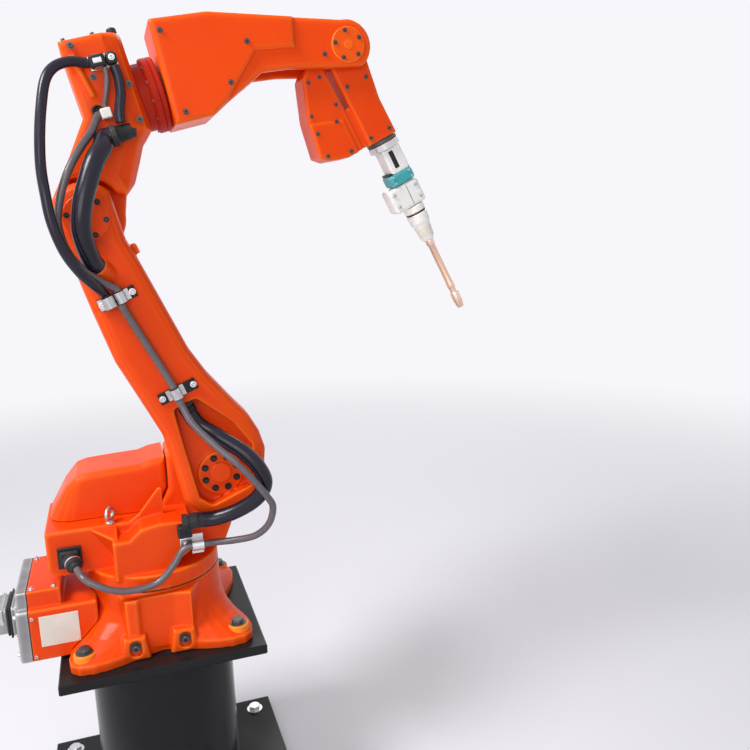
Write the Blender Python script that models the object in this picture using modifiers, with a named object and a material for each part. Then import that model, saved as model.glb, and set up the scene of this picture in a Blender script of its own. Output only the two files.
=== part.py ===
"""Six-axis arc welding robot on a round steel pedestal, standing in a working pose.

Metres, +Z up. The origin is on the floor, on the axis about which the robot turns.
+X points the way the robot reaches, and -Y is the side on which its hoses run.
Each body is modelled in the frame of its own joint, so the pose can be changed freely.
"""

from math import atan2, cos, pi, radians, sin

import bmesh
import bpy
from mathutils import Matrix, Vector

# Pedestal
FOOT_PLATE_HALF = 0.270
PLATE_THICK = 0.020
TUBE_RADIUS = 0.150
TOP_PLATE_HALF = 0.200
PEDESTAL_HEIGHT = 0.450

# Joints, as the pose of the photograph has them
AXIS2_FORWARD = 0.145
AXIS2_RISE = 0.345
ARM_LENGTH = 0.562
ARM_LEAN = radians(21.8)
ELBOW_RISE = 0.188
FOREARM_LENGTH = 0.588
FOREARM_PITCH = radians(14.0)
WRIST_PITCH = radians(-63.5)
WRIST_LENGTH = 0.205

# Room between pieces
SEAT = 0.0003
RUNNING_GAP = 0.006
CUT_REACH = 0.200

# Base casting and its connector box
BASE_HEIGHT = 0.128
BASE_FOOT_HALF = 0.186
FOOT_THICK = 0.018
NECK_RADIUS = 0.135
FLARE = 2.6
SIDE_HOLLOW = 0.044
PAD_HALF = 0.164
BOLT_SEATS = (-0.054, 0.042)
BOLT_SEAT_RADIUS = 0.0115
BOX_REAR = -0.272
BOX_FRONT = -0.120
BOX_STEP = -0.186
BOX_HALF_WIDTH = 0.100
BOX_HEIGHT = 0.115
LID_HALF_WIDTH = 0.088
LID_HEIGHT = 0.150
SOCKET_HALF = 0.050
SOCKET_HEIGHT = 0.070
PLUG_LENGTH = 0.057

# Turret
RING_HEIGHT = 0.034
BRACKET_NEAR = -0.118
STEP_RISE = 0.2346
REAR_NEAR = -0.062
REAR_FAR = 0.130
REAR_TOP = 0.255
DOME_NEAR = -0.014
DOME_FAR = 0.125
WEB_NEAR = -0.060
EYE_PLACE = (-0.080, -0.051, 0.2745)
EYE_RADIUS = 0.0125
EYE_THICK = 0.0040
EYE_TURN = radians(60)
COLLAR_START = (-0.163, -0.070, 0.200)
COLLAR_END = (-0.150, -0.104, 0.190)
COLLAR_WAY = (0.013, -0.034, -0.010)
GLAND_FRONT = 0.088
GLAND_PLACE = (-0.138, 0.2665)
FRONT_CLAMP = (0.072, 0.096)
WALL_NEAR = -0.018
WALL_FAR = 0.095
HUB_RADIUS = 0.092
REDUCER_RADIUS = 0.080
AXIS2_MOTOR_HALF = 0.058
AXIS2_MOTOR_LENGTH = 0.150
CLAMP_HIGH = 0.226
CLAMP_LOW = 0.198

# Lower arm
ARM_NEAR = -0.118
ARM_FAR = -0.026
ARM_EDGE = 0.020
POCKET_DEPTH = 0.030
POCKET_TOP = 0.170
ARM_TOP_RADIUS = 0.064
LOWER_CLAMP_AT = 0.199
UPPER_CLAMP_AT = 0.409
CLAMP_HALF = 0.012
PORT_START = (0.448, -0.103, 0.0135)
PORT_END = (0.478, -0.135, 0.0240)
PORT_WAY = (0.030, -0.032, 0.0105)
GLAND_DEPTH = -0.107
GLAND_END = 0.148

# Elbow
ELBOW_NEAR = -0.098
ELBOW_FAR = 0.098
HUB_NEAR = -0.018
ELBOW_FRONT = 0.165
ELBOW_REAR = 0.055
ELBOW_TOP = 0.112
ELBOW_HUB_RADIUS = 0.072
KNOB_FORWARD = 0.153
FRONT_EDGE = 0.034
REAR_EDGE = 0.008
DISC_RADIUS = 0.070
DISC_LENGTH = 0.046
AXIS3_MOTOR_HALF = 0.048
AXIS3_MOTOR_LENGTH = 0.120
HOSE_BRACKET_REAR = 0.088
HOSE_BRACKET_LOW = 0.103
HOSE_BRACKET_HIGH = 0.142
CONNECTOR_REAR = 0.084
CONNECTOR_LOW = 0.154
CONNECTOR_HIGH = 0.174
ELBOW_CLAMP_REAR = 0.094
ELBOW_CLAMP_LOW = 0.238

# Forearm
FOREARM_HALF_WIDTH = 0.076
CHEEK_OUTER = 0.067
CHEEK_INNER = 0.046
NOSE_RADIUS = 0.050
SLOT_START = 0.501
SLOT_ROOF = 0.050
MOUTH_DEPTH = 0.098

# Wrist
WRIST_HALF_WIDTH = 0.040
WRIST_BARREL_RADIUS = 0.041
PIN_RADIUS = 0.022

# Tool
FLANGE_RADIUS = 0.034
FLANGE_THICK = 0.009
MOUNT_LENGTH = 0.095
CLAMP_END = 0.150
BODY_END = 0.235
NOZZLE_START = 0.370
TORCH_LENGTH = 0.411

# Hoses
LOWER_HOSE_RADIUS = 0.0155
UPPER_HOSE_RADIUS = 0.0176
LOOP_HOSE_RADIUS = 0.0090
CABLE_RADIUS = 0.0070
JUMPER_RADIUS = 0.0045

ROUND_SIDES = 40


def clear_scene():
    for obj in list(bpy.data.objects):
        bpy.data.objects.remove(obj)


def collection_named(name, hidden=False):
    made = bpy.data.collections.new(name)
    bpy.context.scene.collection.children.link(made)
    made.hide_render = hidden
    return made


clear_scene()
PIECES = collection_named("welding_robot")
CUTTERS = collection_named("cutters", hidden=True)


def paint(name, colour, roughness, metallic=0.0):
    made = bpy.data.materials.new(name)
    made.use_nodes = True
    shader = made.node_tree.nodes["Principled BSDF"]
    shader.inputs["Base Color"].default_value = (*colour, 1.0)
    shader.inputs["Roughness"].default_value = roughness
    shader.inputs["Metallic"].default_value = metallic
    return made


orange_paint = paint("orange_paint", (0.85, 0.11, 0.012), 0.35)
black_paint = paint("black_paint", (0.012, 0.012, 0.014), 0.25)
bare_steel = paint("bare_steel", (0.55, 0.56, 0.58), 0.35, 1.0)
black_rubber = paint("black_rubber", (0.02, 0.02, 0.022), 0.6)
grey_rubber = paint("grey_rubber", (0.16, 0.15, 0.16), 0.5)
teal_paint = paint("teal_paint", (0.02, 0.35, 0.36), 0.4)
white_plastic = paint("white_plastic", (0.82, 0.80, 0.74), 0.4)
copper = paint("copper", (0.75, 0.42, 0.28), 0.35, 1.0)


# The frames of the bodies, one on each joint


def frame_at(name, parent, place, pitch=0.0):
    """An empty on a joint. A positive pitch lifts its X axis."""
    empty = bpy.data.objects.new(name, None)
    empty.empty_display_size = 0.05
    PIECES.objects.link(empty)
    empty.parent = parent
    empty.location = place
    empty.rotation_euler = (0.0, -pitch, 0.0)
    return empty


arm_pitch = pi / 2 + ARM_LEAN
base_frame = frame_at("base_frame", None, (0, 0, PEDESTAL_HEIGHT))
turret_frame = frame_at("turret_frame", base_frame, (0, 0, 0))
arm_frame = frame_at("arm_frame", turret_frame, (AXIS2_FORWARD, 0, AXIS2_RISE), arm_pitch)
elbow_frame = frame_at("elbow_frame", arm_frame, (ARM_LENGTH, 0, 0), FOREARM_PITCH - arm_pitch)
forearm_frame = frame_at("forearm_frame", elbow_frame, (0, 0, ELBOW_RISE))
wrist_frame = frame_at(
    "wrist_frame", forearm_frame, (FOREARM_LENGTH, 0, 0), WRIST_PITCH - FOREARM_PITCH
)
tool_frame = frame_at("tool_frame", wrist_frame, (WRIST_LENGTH, 0, 0))


# Shapes that the pieces are made from


def piece(name, mesh, frame, material, cutter=False):
    """Links a mesh as one named piece in the frame of its body."""
    obj = bpy.data.objects.new(name, mesh)
    (CUTTERS if cutter else PIECES).objects.link(obj)
    obj.parent = frame
    if cutter:
        obj.hide_render = True
        obj.display_type = "WIRE"
    else:
        mesh.materials.append(material)
    return obj


def mesh_of(name, bm):
    """The finished mesh, smooth on its round sides and sharp at its corners."""
    bmesh.ops.recalc_face_normals(bm, faces=bm.faces)
    mesh = bpy.data.meshes.new(name)
    bm.to_mesh(mesh)
    bm.free()
    mesh.shade_smooth()
    mesh.set_sharp_from_angle(angle=radians(35))
    return mesh


def box_mesh(name, low, high):
    low = Vector(low)
    high = Vector(high)
    bm = bmesh.new()
    bmesh.ops.create_cube(bm, size=1.0)
    size = Matrix.Diagonal((*(high - low), 1.0))
    bmesh.ops.transform(bm, matrix=Matrix.Translation((low + high) / 2) @ size, verts=bm.verts)
    return mesh_of(name, bm)


def rod_mesh(name, start, end, radius, end_radius=None, sides=ROUND_SIDES):
    """A cylinder, or a cone, from one point to another."""
    start = Vector(start)
    end = Vector(end)
    bm = bmesh.new()
    bmesh.ops.create_cone(
        bm,
        cap_ends=True,
        segments=sides,
        radius1=radius,
        radius2=radius if end_radius is None else end_radius,
        depth=(end - start).length,
    )
    turn = (end - start).to_track_quat("Z", "Y").to_matrix().to_4x4()
    place = Matrix.Translation((start + end) / 2)
    bmesh.ops.transform(bm, matrix=place @ turn, verts=bm.verts)
    return mesh_of(name, bm)


def arc(centre, radius, start, end, steps):
    """Points of an arc from one angle in degrees to another, both ends included."""
    turn = [radians(start + (end - start) * i / steps) for i in range(steps + 1)]
    return [(centre[0] + radius * cos(a), centre[1] + radius * sin(a)) for a in turn]


def rounded(corners, radius, steps=3):
    """An outline with each of its corners turned into an arc."""
    points = []
    count = len(corners)
    for i, corner in enumerate(corners):
        here = Vector(corner)
        back = (Vector(corners[i - 1]) - here).normalized()
        ahead = (Vector(corners[(i + 1) % count]) - here).normalized()
        half = back.angle(ahead) / 2
        centre = here + (back + ahead).normalized() * radius / sin(half)
        first = here + back * radius * cos(half) / sin(half) - centre
        last = here + ahead * radius * cos(half) / sin(half) - centre
        start = atan2(first.y, first.x)
        sweep = atan2(first.x * last.y - first.y * last.x, first.dot(last))
        for k in range(steps + 1):
            a = start + sweep * k / steps
            points.append((centre.x + radius * cos(a), centre.y + radius * sin(a)))
    return points


def inset(outline, widths):
    """The outline drawn in by a width of its own at each point."""
    count = len(outline)
    points = [Vector(p) for p in outline]
    area = sum(
        points[i - 1].x * points[i].y - points[i].x * points[i - 1].y for i in range(count)
    )
    side = 1 if area > 0 else -1
    drawn = []
    for i, here in enumerate(points):
        before = (here - points[i - 1]).normalized()
        after = (points[(i + 1) % count] - here).normalized()
        inward = Vector((-before.y - after.y, before.x + after.x)) * side
        inward.normalize()
        slant = max(0.35, inward.dot(Vector((-after.y, after.x)) * side))
        drawn.append(here + inward * widths[i] / slant)
    return drawn


def cast_mesh(name, outline, low, high, edge=0.0, steps=2, upright=False):
    """A casting: an outline given a thickness, its edges rounded by the edge's width.

    The outline lies in X and Z and the thickness along Y, or in X and Y if it stands
    upright. The edge is one width, or a function that gives the width at a point.
    """
    width_at = edge if callable(edge) else lambda x, z: edge
    widths = [width_at(*point) for point in outline]
    turns = [pi / 2 * k / steps for k in range(steps + 1)] if any(widths) else [pi / 2]
    levels = [(low, 1, a) for a in turns] + [(high, -1, a) for a in reversed(turns)]
    bm = bmesh.new()
    rings = []
    for face, inwards, a in levels:
        drawn = inset(outline, [w * (1 - sin(a)) for w in widths])
        ring = []
        for (x, z), w in zip(drawn, widths):
            level = face + inwards * w * (1 - cos(a))
            ring.append(bm.verts.new((x, z, level) if upright else (x, level, z)))
        rings.append(ring)
    count = len(outline)
    for lower, upper in zip(rings, rings[1:]):
        for k in range(count):
            n = (k + 1) % count
            bm.faces.new((lower[k], lower[n], upper[n], upper[k]))
    bm.faces.new(rings[0])
    bm.faces.new(rings[-1])
    return mesh_of(name, bm)


def bevel(obj, width, segments=2):
    made = obj.modifiers.new("edges", "BEVEL")
    made.width = width
    made.segments = segments
    made.limit_method = "ANGLE"
    made.angle_limit = radians(40)
    return obj


def join(obj, mesh, operation="UNION"):
    """Adds or cuts a shape that shares the frame of the piece."""
    other = piece(mesh.name + "_tool", mesh, obj.parent, None, cutter=True)
    made = obj.modifiers.new(mesh.name, "BOOLEAN")
    made.operation = operation
    made.object = other
    made.solver = "EXACT"
    return obj


def cut(obj, mesh):
    return join(obj, mesh, "DIFFERENCE")


def turned(name, profile, frame, material, place):
    """A profile of (radius, height), from the top down its outer side, turned about X."""
    mesh = bpy.data.meshes.new(name)
    points = [(r, 0.0, h) for r, h in profile]
    mesh.from_pydata(points, [(i, i + 1) for i in range(len(points) - 1)], [])
    obj = piece(name, mesh, frame, material)
    obj.location = place
    obj.rotation_euler = (0, pi / 2, 0)
    screw = obj.modifiers.new("turn", "SCREW")
    screw.steps = ROUND_SIDES
    screw.render_steps = ROUND_SIDES
    screw.use_merge_vertices = True
    screw.merge_threshold = 0.00005
    screw.use_smooth_shade = True
    return obj


def servo_motor(name, frame, start, half, length, axis_rise=0.0):
    """A square servo motor along Y: flange, body with rounded corners, and end cap."""
    flange_end = start + 0.012
    body_end = start + length - 0.030
    corners = [(-half, -half), (half, -half), (half, half), (-half, half)]
    corners = [(x, z + axis_rise) for x, z in corners]
    flange = cast_mesh(name, rounded(corners, 0.2 * half), start, flange_end + 0.001)
    motor = piece(name, flange, frame, black_paint)
    corners = [(0.88 * x, 0.88 * (z - axis_rise) + axis_rise) for x, z in corners]
    body = cast_mesh(name + "_body", rounded(corners, 0.35 * half), flange_end, body_end, 0.003)
    join(motor, body)
    middle = (0, body_end - 0.002, axis_rise)
    end = (0, start + length, axis_rise)
    join(motor, rod_mesh(name + "_cap", middle, end, 0.78 * half, 0.72 * half))
    plug_rise = axis_rise + 0.86 * half
    low = (-0.016, body_end - 0.045, plug_rise - 0.006)
    high = (0.016, body_end - 0.012, plug_rise + 0.020)
    return join(motor, box_mesh(name + "_plug", low, high))


def build_pedestal():
    half = FOOT_PLATE_HALF
    low = -PEDESTAL_HEIGHT
    plate = box_mesh("foot_plate", (-half, -half, low), (half, half, low + PLATE_THICK))
    bevel(piece("foot_plate", plate, base_frame, black_paint), 0.002, 1)
    bottom = (0, 0, low + PLATE_THICK + SEAT)
    top = (0, 0, -PLATE_THICK - SEAT)
    tube = rod_mesh("pedestal_tube", bottom, top, TUBE_RADIUS, sides=56)
    piece("pedestal_tube", tube, base_frame, black_paint)
    half = TOP_PLATE_HALF
    plate = box_mesh("top_plate", (-half, -half, -PLATE_THICK), (half, half, 0))
    bevel(piece("top_plate", plate, base_frame, black_paint), 0.002, 1)


def bell_radius(angle, height):
    """Radius of the base casting: a round neck that spreads into four corner feet."""
    spread = (1 - height / (BASE_HEIGHT - FOOT_THICK)) ** FLARE
    c = abs(cos(angle))
    s = abs(sin(angle))
    square = BASE_FOOT_HALF / (c**8 + s**8) ** 0.125
    hollow = SIDE_HOLLOW * cos(2 * angle) ** 2
    return NECK_RADIUS + (square - hollow - NECK_RADIUS) * spread


def bell_mesh(name, room=0.0):
    """The four-footed bell as a loft of level sections. Room makes it larger all round."""
    sides = 64
    bm = bmesh.new()
    rings = []
    for share in (0.0, 0.14, 0.23, 0.37, 0.55, 0.74, 1.0):
        level = share * BASE_HEIGHT
        height = max(0.0, level - FOOT_THICK)
        z = SEAT + level + (room if share else -room - SEAT)
        ring = []
        for k in range(sides):
            angle = 2 * pi * (k + 0.5) / sides
            radius = bell_radius(angle, height) + room
            ring.append(bm.verts.new((radius * cos(angle), radius * sin(angle), z)))
        rings.append(ring)
    for lower, upper in zip(rings, rings[1:]):
        for k in range(sides):
            n = (k + 1) % sides
            bm.faces.new((lower[k], lower[n], upper[n], upper[k]))
    bm.faces.new(rings[0])
    bm.faces.new(rings[-1])
    return mesh_of(name, bm)


def pier_outline():
    """Level section of the piers: on each side two ridges, and a shallow recess between."""
    ridges = [(-0.084, 0.097), (-0.066, 0.153), (-0.046, 0.155), (-0.036, 0.146)]
    ridges += [(0.026, 0.146), (0.060, 0.155), (0.086, 0.097)]
    return [(x, -y) for x, y in ridges] + list(reversed(ridges))


def build_base_casting():
    """The bell, with a pair of piers and two bolting pads on each side."""
    casting = piece("base_casting", bell_mesh("base_casting"), base_frame, orange_paint)
    join(casting, cast_mesh("piers", pier_outline(), 0.012, BASE_HEIGHT - 0.004, upright=True))
    radius = BOLT_SEAT_RADIUS
    for x in BOLT_SEATS:
        pad = [(x - 0.030, SEAT), (x + 0.028, SEAT), (x + 0.020, 0.050), (x - 0.022, 0.050)]
        join(casting, cast_mesh(f"pad_{x}", pad, -PAD_HALF, PAD_HALF, 0.006))
        slot = arc((x, 0.032), radius, 0, 180, 8) + arc((x, 0.021), radius, 180, 360, 8)
        seat = cast_mesh(f"bolt_seat_{x}", slot, -PAD_HALF - 0.010, -PAD_HALF + 0.0083)
        cut(casting, seat)


def build_connector_box():
    """The box behind the bell, with a narrower lid and its plug on the rear face."""
    low = (BOX_REAR, -BOX_HALF_WIDTH, 0.006)
    high = (BOX_FRONT, BOX_HALF_WIDTH, BOX_HEIGHT)
    box = piece("connector_box", box_mesh("connector_box", low, high), base_frame, orange_paint)
    bevel(box, 0.004, 2)
    low = (BOX_REAR + 0.003, -LID_HALF_WIDTH, BOX_HEIGHT - 0.010)
    high = (BOX_STEP, LID_HALF_WIDTH, LID_HEIGHT)
    join(box, box_mesh("lid", low, high))
    cut(box, bell_mesh("bell_room", 0.0012))
    half = SOCKET_HALF
    middle = 0.072
    low = (BOX_REAR - 0.018, -half, middle - SOCKET_HEIGHT / 2)
    high = (BOX_REAR - SEAT, half, middle + SOCKET_HEIGHT / 2)
    socket = piece("base_socket", box_mesh("base_socket", low, high), base_frame, bare_steel)
    bevel(socket, 0.003)
    low = (BOX_REAR - 0.018 - PLUG_LENGTH, -half + 0.008, middle - SOCKET_HEIGHT / 2 + 0.006)
    high = (BOX_REAR - 0.018 - SEAT, half - 0.008, middle + SOCKET_HEIGHT / 2 - 0.006)
    plug = piece("base_plug", box_mesh("base_plug", low, high), base_frame, bare_steel)
    bevel(plug, 0.010, 3)


def build_turret_casting():
    """Round neck, near bracket with its stepped shelf, rear block and wall of axis 2."""
    bottom = (0, 0, BASE_HEIGHT + 2 * SEAT)
    ring = rod_mesh("turret_casting", bottom, (0, 0, BASE_HEIGHT + RING_HEIGHT), NECK_RADIUS)
    casting = piece("turret_casting", ring, turret_frame, orange_paint)
    low = BASE_HEIGHT + 0.024
    bracket = [(-0.079, low), (0.007, low), (0.074, 0.197), (0.074, 0.259), (0.0145, 0.262)]
    bracket += [(-0.023, 0.2557), (-0.048, STEP_RISE), (-0.079, STEP_RISE)]
    join(casting, cast_mesh("bracket", bracket, BRACKET_NEAR, -0.020, 0.004))
    wall = [(0.022, 0.150), (0.128, 0.150), (0.155, 0.165), (0.172, 0.205), (0.190, 0.262)]
    wall += arc((AXIS2_FORWARD, AXIS2_RISE), HUB_RADIUS, -45, 128, 18)
    wall += [(0.042, 0.372), (0.042, 0.300), (0.022, 0.262)]
    join(casting, cast_mesh("wall", wall, WALL_NEAR, WALL_FAR, 0.008))
    rear = [(-0.206, 0.176), (-0.192, 0.160), (0.034, 0.160), (0.034, REAR_TOP)]
    rear += [(-0.206, REAR_TOP)]
    join(casting, cast_mesh("rear_block", rear, REAR_NEAR, REAR_FAR, 0.004))
    join(casting, gusset_mesh())
    web = [(-0.052, 0.225), (-0.052, 0.249), (-0.024, 0.268), (0.019, 0.320)]
    web += [(0.026, 0.316), (0.026, 0.225)]
    join(casting, cast_mesh("web", web, WEB_NEAR, WEB_NEAR + 0.005))


def gusset_mesh():
    """A wedge in the corner of bracket and rear block, which tapers down to a point."""
    inside = REAR_NEAR + 0.010
    places = [(-0.130, inside, 0.2535), (-0.068, inside, 0.2535), (-0.068, inside, 0.152)]
    places += [(-0.068, BRACKET_NEAR + 0.006, STEP_RISE - 0.001)]
    bm = bmesh.new()
    corners = [bm.verts.new(place) for place in places]
    for skipped in range(4):
        bm.faces.new([corner for i, corner in enumerate(corners) if i != skipped])
    return mesh_of("gusset", bm)


def dome_edge(x, z):
    """The motor cover's edges are rounded most at its rear."""
    if x < -0.180:
        return 0.045
    return 0.028 if x < -0.150 else 0.012


def ring_mesh(name, place, radius, thick, turn):
    """A round ring that stands upright, turned about the vertical."""
    rings = []
    bm = bmesh.new()
    for k in range(24):
        a = 2 * pi * k / 24
        out = Vector((cos(a) * cos(turn), cos(a) * sin(turn), sin(a)))
        side = Vector((-sin(turn), cos(turn), 0))
        turns = [2 * pi * i / 10 for i in range(10)]
        spokes = [out * (radius + thick * cos(b)) + side * thick * sin(b) for b in turns]
        rings.append([bm.verts.new(Vector(place) + spoke) for spoke in spokes])
    for lower, upper in zip(rings, rings[1:] + rings[:1]):
        for k in range(10):
            n = (k + 1) % 10
            bm.faces.new((lower[k], lower[n], upper[n], upper[k]))
    return mesh_of(name, bm)


def build_lifting_eye():
    """Eyebolt on the rear block, beside the bracket."""
    x, y, z = EYE_PLACE
    top = z - EYE_RADIUS
    collar = rod_mesh("lifting_eye", (x, y, REAR_TOP + SEAT), (x, y, top), 0.0065, sides=24)
    eye = piece("lifting_eye", collar, turret_frame, bare_steel)
    join(eye, ring_mesh("eye", EYE_PLACE, EYE_RADIUS, EYE_THICK, EYE_TURN))


def build_dome():
    """Cover over the motor of the first axis, round at its rear and flat underneath."""
    base = REAR_TOP + SEAT
    dome = [(-0.214, 0.205), (0.020, 0.205), (0.020, 0.262), (0.040, 0.301), (0.040, 0.368)]
    dome += [(0.010, 0.364), (-0.012, 0.357), (-0.068, 0.355), (-0.120, 0.352)]
    dome += [(-0.140, 0.346), (-0.164, 0.322), (-0.195, 0.272)]
    mesh = cast_mesh("axis1_motor_cover", dome, DOME_NEAR, DOME_FAR, dome_edge, 4)
    dome = piece("axis1_motor_cover", mesh, turret_frame, orange_paint)
    low = (-2 * CUT_REACH, DOME_NEAR - CUT_REACH, base - CUT_REACH)
    cut(dome, box_mesh("dome_floor", low, (CUT_REACH, DOME_FAR + CUT_REACH, base)))


def build_turret():
    build_turret_casting()
    build_dome()
    build_lifting_eye()
    x = AXIS2_FORWARD
    start = (x, WALL_NEAR - SEAT, AXIS2_RISE)
    end = (x, ARM_FAR + SEAT, AXIS2_RISE)
    reducer = rod_mesh("axis2_reducer", start, end, REDUCER_RADIUS)
    piece("axis2_reducer", reducer, turret_frame, bare_steel)
    motor = servo_motor(
        "axis2_motor", turret_frame, WALL_FAR + SEAT, AXIS2_MOTOR_HALF, AXIS2_MOTOR_LENGTH
    )
    motor.location = (x, 0, AXIS2_RISE)
    for part in motor.modifiers:
        part.object.location = motor.location
    low = (-0.186, REAR_NEAR - 0.016, 0.178)
    high = (-0.140, REAR_NEAR - SEAT, 0.222)
    socket = box_mesh("turret_socket", low, high)
    socket = bevel(piece("turret_socket", socket, turret_frame, black_rubber), 0.004)
    join(socket, rod_mesh("collar", COLLAR_START, COLLAR_END, 0.016, sides=24))
    build_front_fittings()


def build_front_fittings():
    """Gland of the thick hose and cable clamp, bolted to the bracket's front corner."""
    y, z = GLAND_PLACE
    foot = box_mesh("hose_gland", (0.046, y - 0.004, 0.232), (0.074, BRACKET_NEAR - SEAT, 0.257))
    gland = bevel(piece("hose_gland", foot, turret_frame, black_rubber), 0.003)
    join(gland, rod_mesh("nut", (0.056, y, z), (GLAND_FRONT, y, z), 0.0165, sides=24))
    rear, front = FRONT_CLAMP
    low = (rear - 0.022, BRACKET_NEAR - 0.004, CLAMP_LOW)
    high = (front - 0.004, BRACKET_NEAR - SEAT, CLAMP_HIGH)
    clamp = piece("front_clamp", box_mesh("front_clamp", low, high), turret_frame, bare_steel)
    low = (rear, BRACKET_NEAR - 0.026, CLAMP_LOW + 0.004)
    high = (front, BRACKET_NEAR - 0.002, CLAMP_HIGH - 0.004)
    join(clamp, box_mesh("jaw", low, high))


def arm_clamp(name, along, low_side, high_side):
    """A steel saddle clamp across the arm's near face."""
    low = (along - CLAMP_HALF, ARM_NEAR - 0.006, low_side - 0.008)
    high = (along + CLAMP_HALF, ARM_NEAR - SEAT, high_side + 0.008)
    clamp = piece(name, box_mesh(name, low, high), arm_frame, bare_steel)
    low = (along - CLAMP_HALF, ARM_NEAR - 0.030, low_side)
    high = (along + CLAMP_HALF, ARM_NEAR - 0.003, high_side)
    join(clamp, box_mesh(name + "_saddle", low, high))


def build_lower_arm():
    """Tapered casting with thick rounded edges, a pocket at its lower end and a hose port."""
    outline = arc((0, 0), HUB_RADIUS, 100, 258, 20)
    outline += [(0.006, -0.1035), (0.045, -0.1075), (0.085, -0.103), (0.130, -0.088)]
    front = [(0.356, -0.067), (0.466, -0.056), (0.819, -0.0485), (0.890, -0.045)]
    outline += [(share * ARM_LENGTH, z) for share, z in front]
    outline += arc((ARM_LENGTH, 0), ARM_TOP_RADIUS, -65, 75, 16)
    rear = [(0.890, 0.0625), (0.712, 0.072), (0.534, 0.079), (0.374, 0.072)]
    outline += [(share * ARM_LENGTH, z) for share, z in rear]
    outline += [(0.130, 0.066), (0.060, 0.077)]
    arm = cast_mesh("lower_arm", outline, ARM_NEAR, ARM_FAR, ARM_EDGE, 3)
    arm = piece("lower_arm", arm, arm_frame, orange_paint)
    pocket = [(-0.048, -0.046), (0.030, -0.082), (0.090, -0.068), (POCKET_TOP, -0.024)]
    pocket += [(POCKET_TOP, 0.024), (0.090, 0.040), (-0.020, 0.060), (-0.048, 0.044)]
    floor = ARM_NEAR + POCKET_DEPTH
    cut(arm, cast_mesh("pocket", rounded(pocket, 0.010, 2), ARM_NEAR - 0.05, floor))
    join(arm, rod_mesh("hub_cap", (0, floor - 0.006, 0), (0, floor + 0.004, 0), 0.046))
    low = (0.466, ARM_NEAR + 0.026, -0.058)
    high = (0.486, ARM_FAR - 0.026, -0.040)
    join(arm, box_mesh("stop_lug", low, high))
    join(arm, rod_mesh("hose_port", PORT_START, PORT_END, 0.019, sides=24))
    arm_clamp("lower_clamp", LOWER_CLAMP_AT, -0.031, 0.032)
    arm_clamp("upper_clamp", UPPER_CLAMP_AT, -0.010, 0.048)
    start = (POCKET_TOP - SEAT, GLAND_DEPTH, 0)
    end = (GLAND_END, GLAND_DEPTH, 0)
    gland = rod_mesh("arm_gland", start, end, 0.0165, sides=24)
    piece("arm_gland", gland, arm_frame, black_rubber)


def front_curve():
    """The elbow's outline from its hub up its front and over to its rear."""
    top = ELBOW_RISE + ELBOW_TOP
    curve = [(0.084, 0.020), (0.104, 0.036), (0.126, 0.072), (0.142, 0.100)]
    curve += [(ELBOW_FRONT, 0.120), (ELBOW_FRONT, top)]
    return curve + [(ELBOW_FRONT - FRONT_EDGE, top), (ELBOW_REAR, top)]


def elbow_edge(x, z):
    """The near face is rounded most along its front, and little along its top."""
    on_top = z > ELBOW_RISE and x < ELBOW_FRONT
    return FRONT_EDGE if x > 0.095 and not on_top else REAR_EDGE


def build_elbow_housing():
    """Hub on the far side of the arm, joined over the arm's end to a box that faces near."""
    hub = arc((0, 0), ELBOW_HUB_RADIUS, 150, 350, 20) + front_curve() + [(ELBOW_REAR, 0.170)]
    casting = cast_mesh("elbow_housing", hub, HUB_NEAR, ELBOW_FAR, 0.010)
    casting = piece("elbow_housing", casting, elbow_frame, orange_paint)
    room = ARM_TOP_RADIUS + RUNNING_GAP + 0.002
    near = arc((0, 0), room, 112, 24, 8) + front_curve() + [(ELBOW_REAR, 0.170)]
    join(casting, cast_mesh("near_box", near, ELBOW_NEAR, HUB_NEAR + 0.045, elbow_edge, 2))
    rib = [(0.064, 0.272), (0.076, 0.272), (0.088, 0.196), (0.078, 0.196)]
    join(casting, cast_mesh("rib", rib, ELBOW_NEAR - 0.006, ELBOW_NEAR + 0.010, 0.004))
    hole = (0.082, ELBOW_NEAR - 0.010, 0.173)
    cut(casting, rod_mesh("hole", hole, (0.082, ELBOW_NEAR + 0.008, 0.173), 0.010, sides=20))
    top = ELBOW_RISE + ELBOW_TOP
    cut(casting, box_mesh("notch", (0.136, -0.072, top - 0.006), (0.18, -0.036, top + 0.01)))


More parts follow.
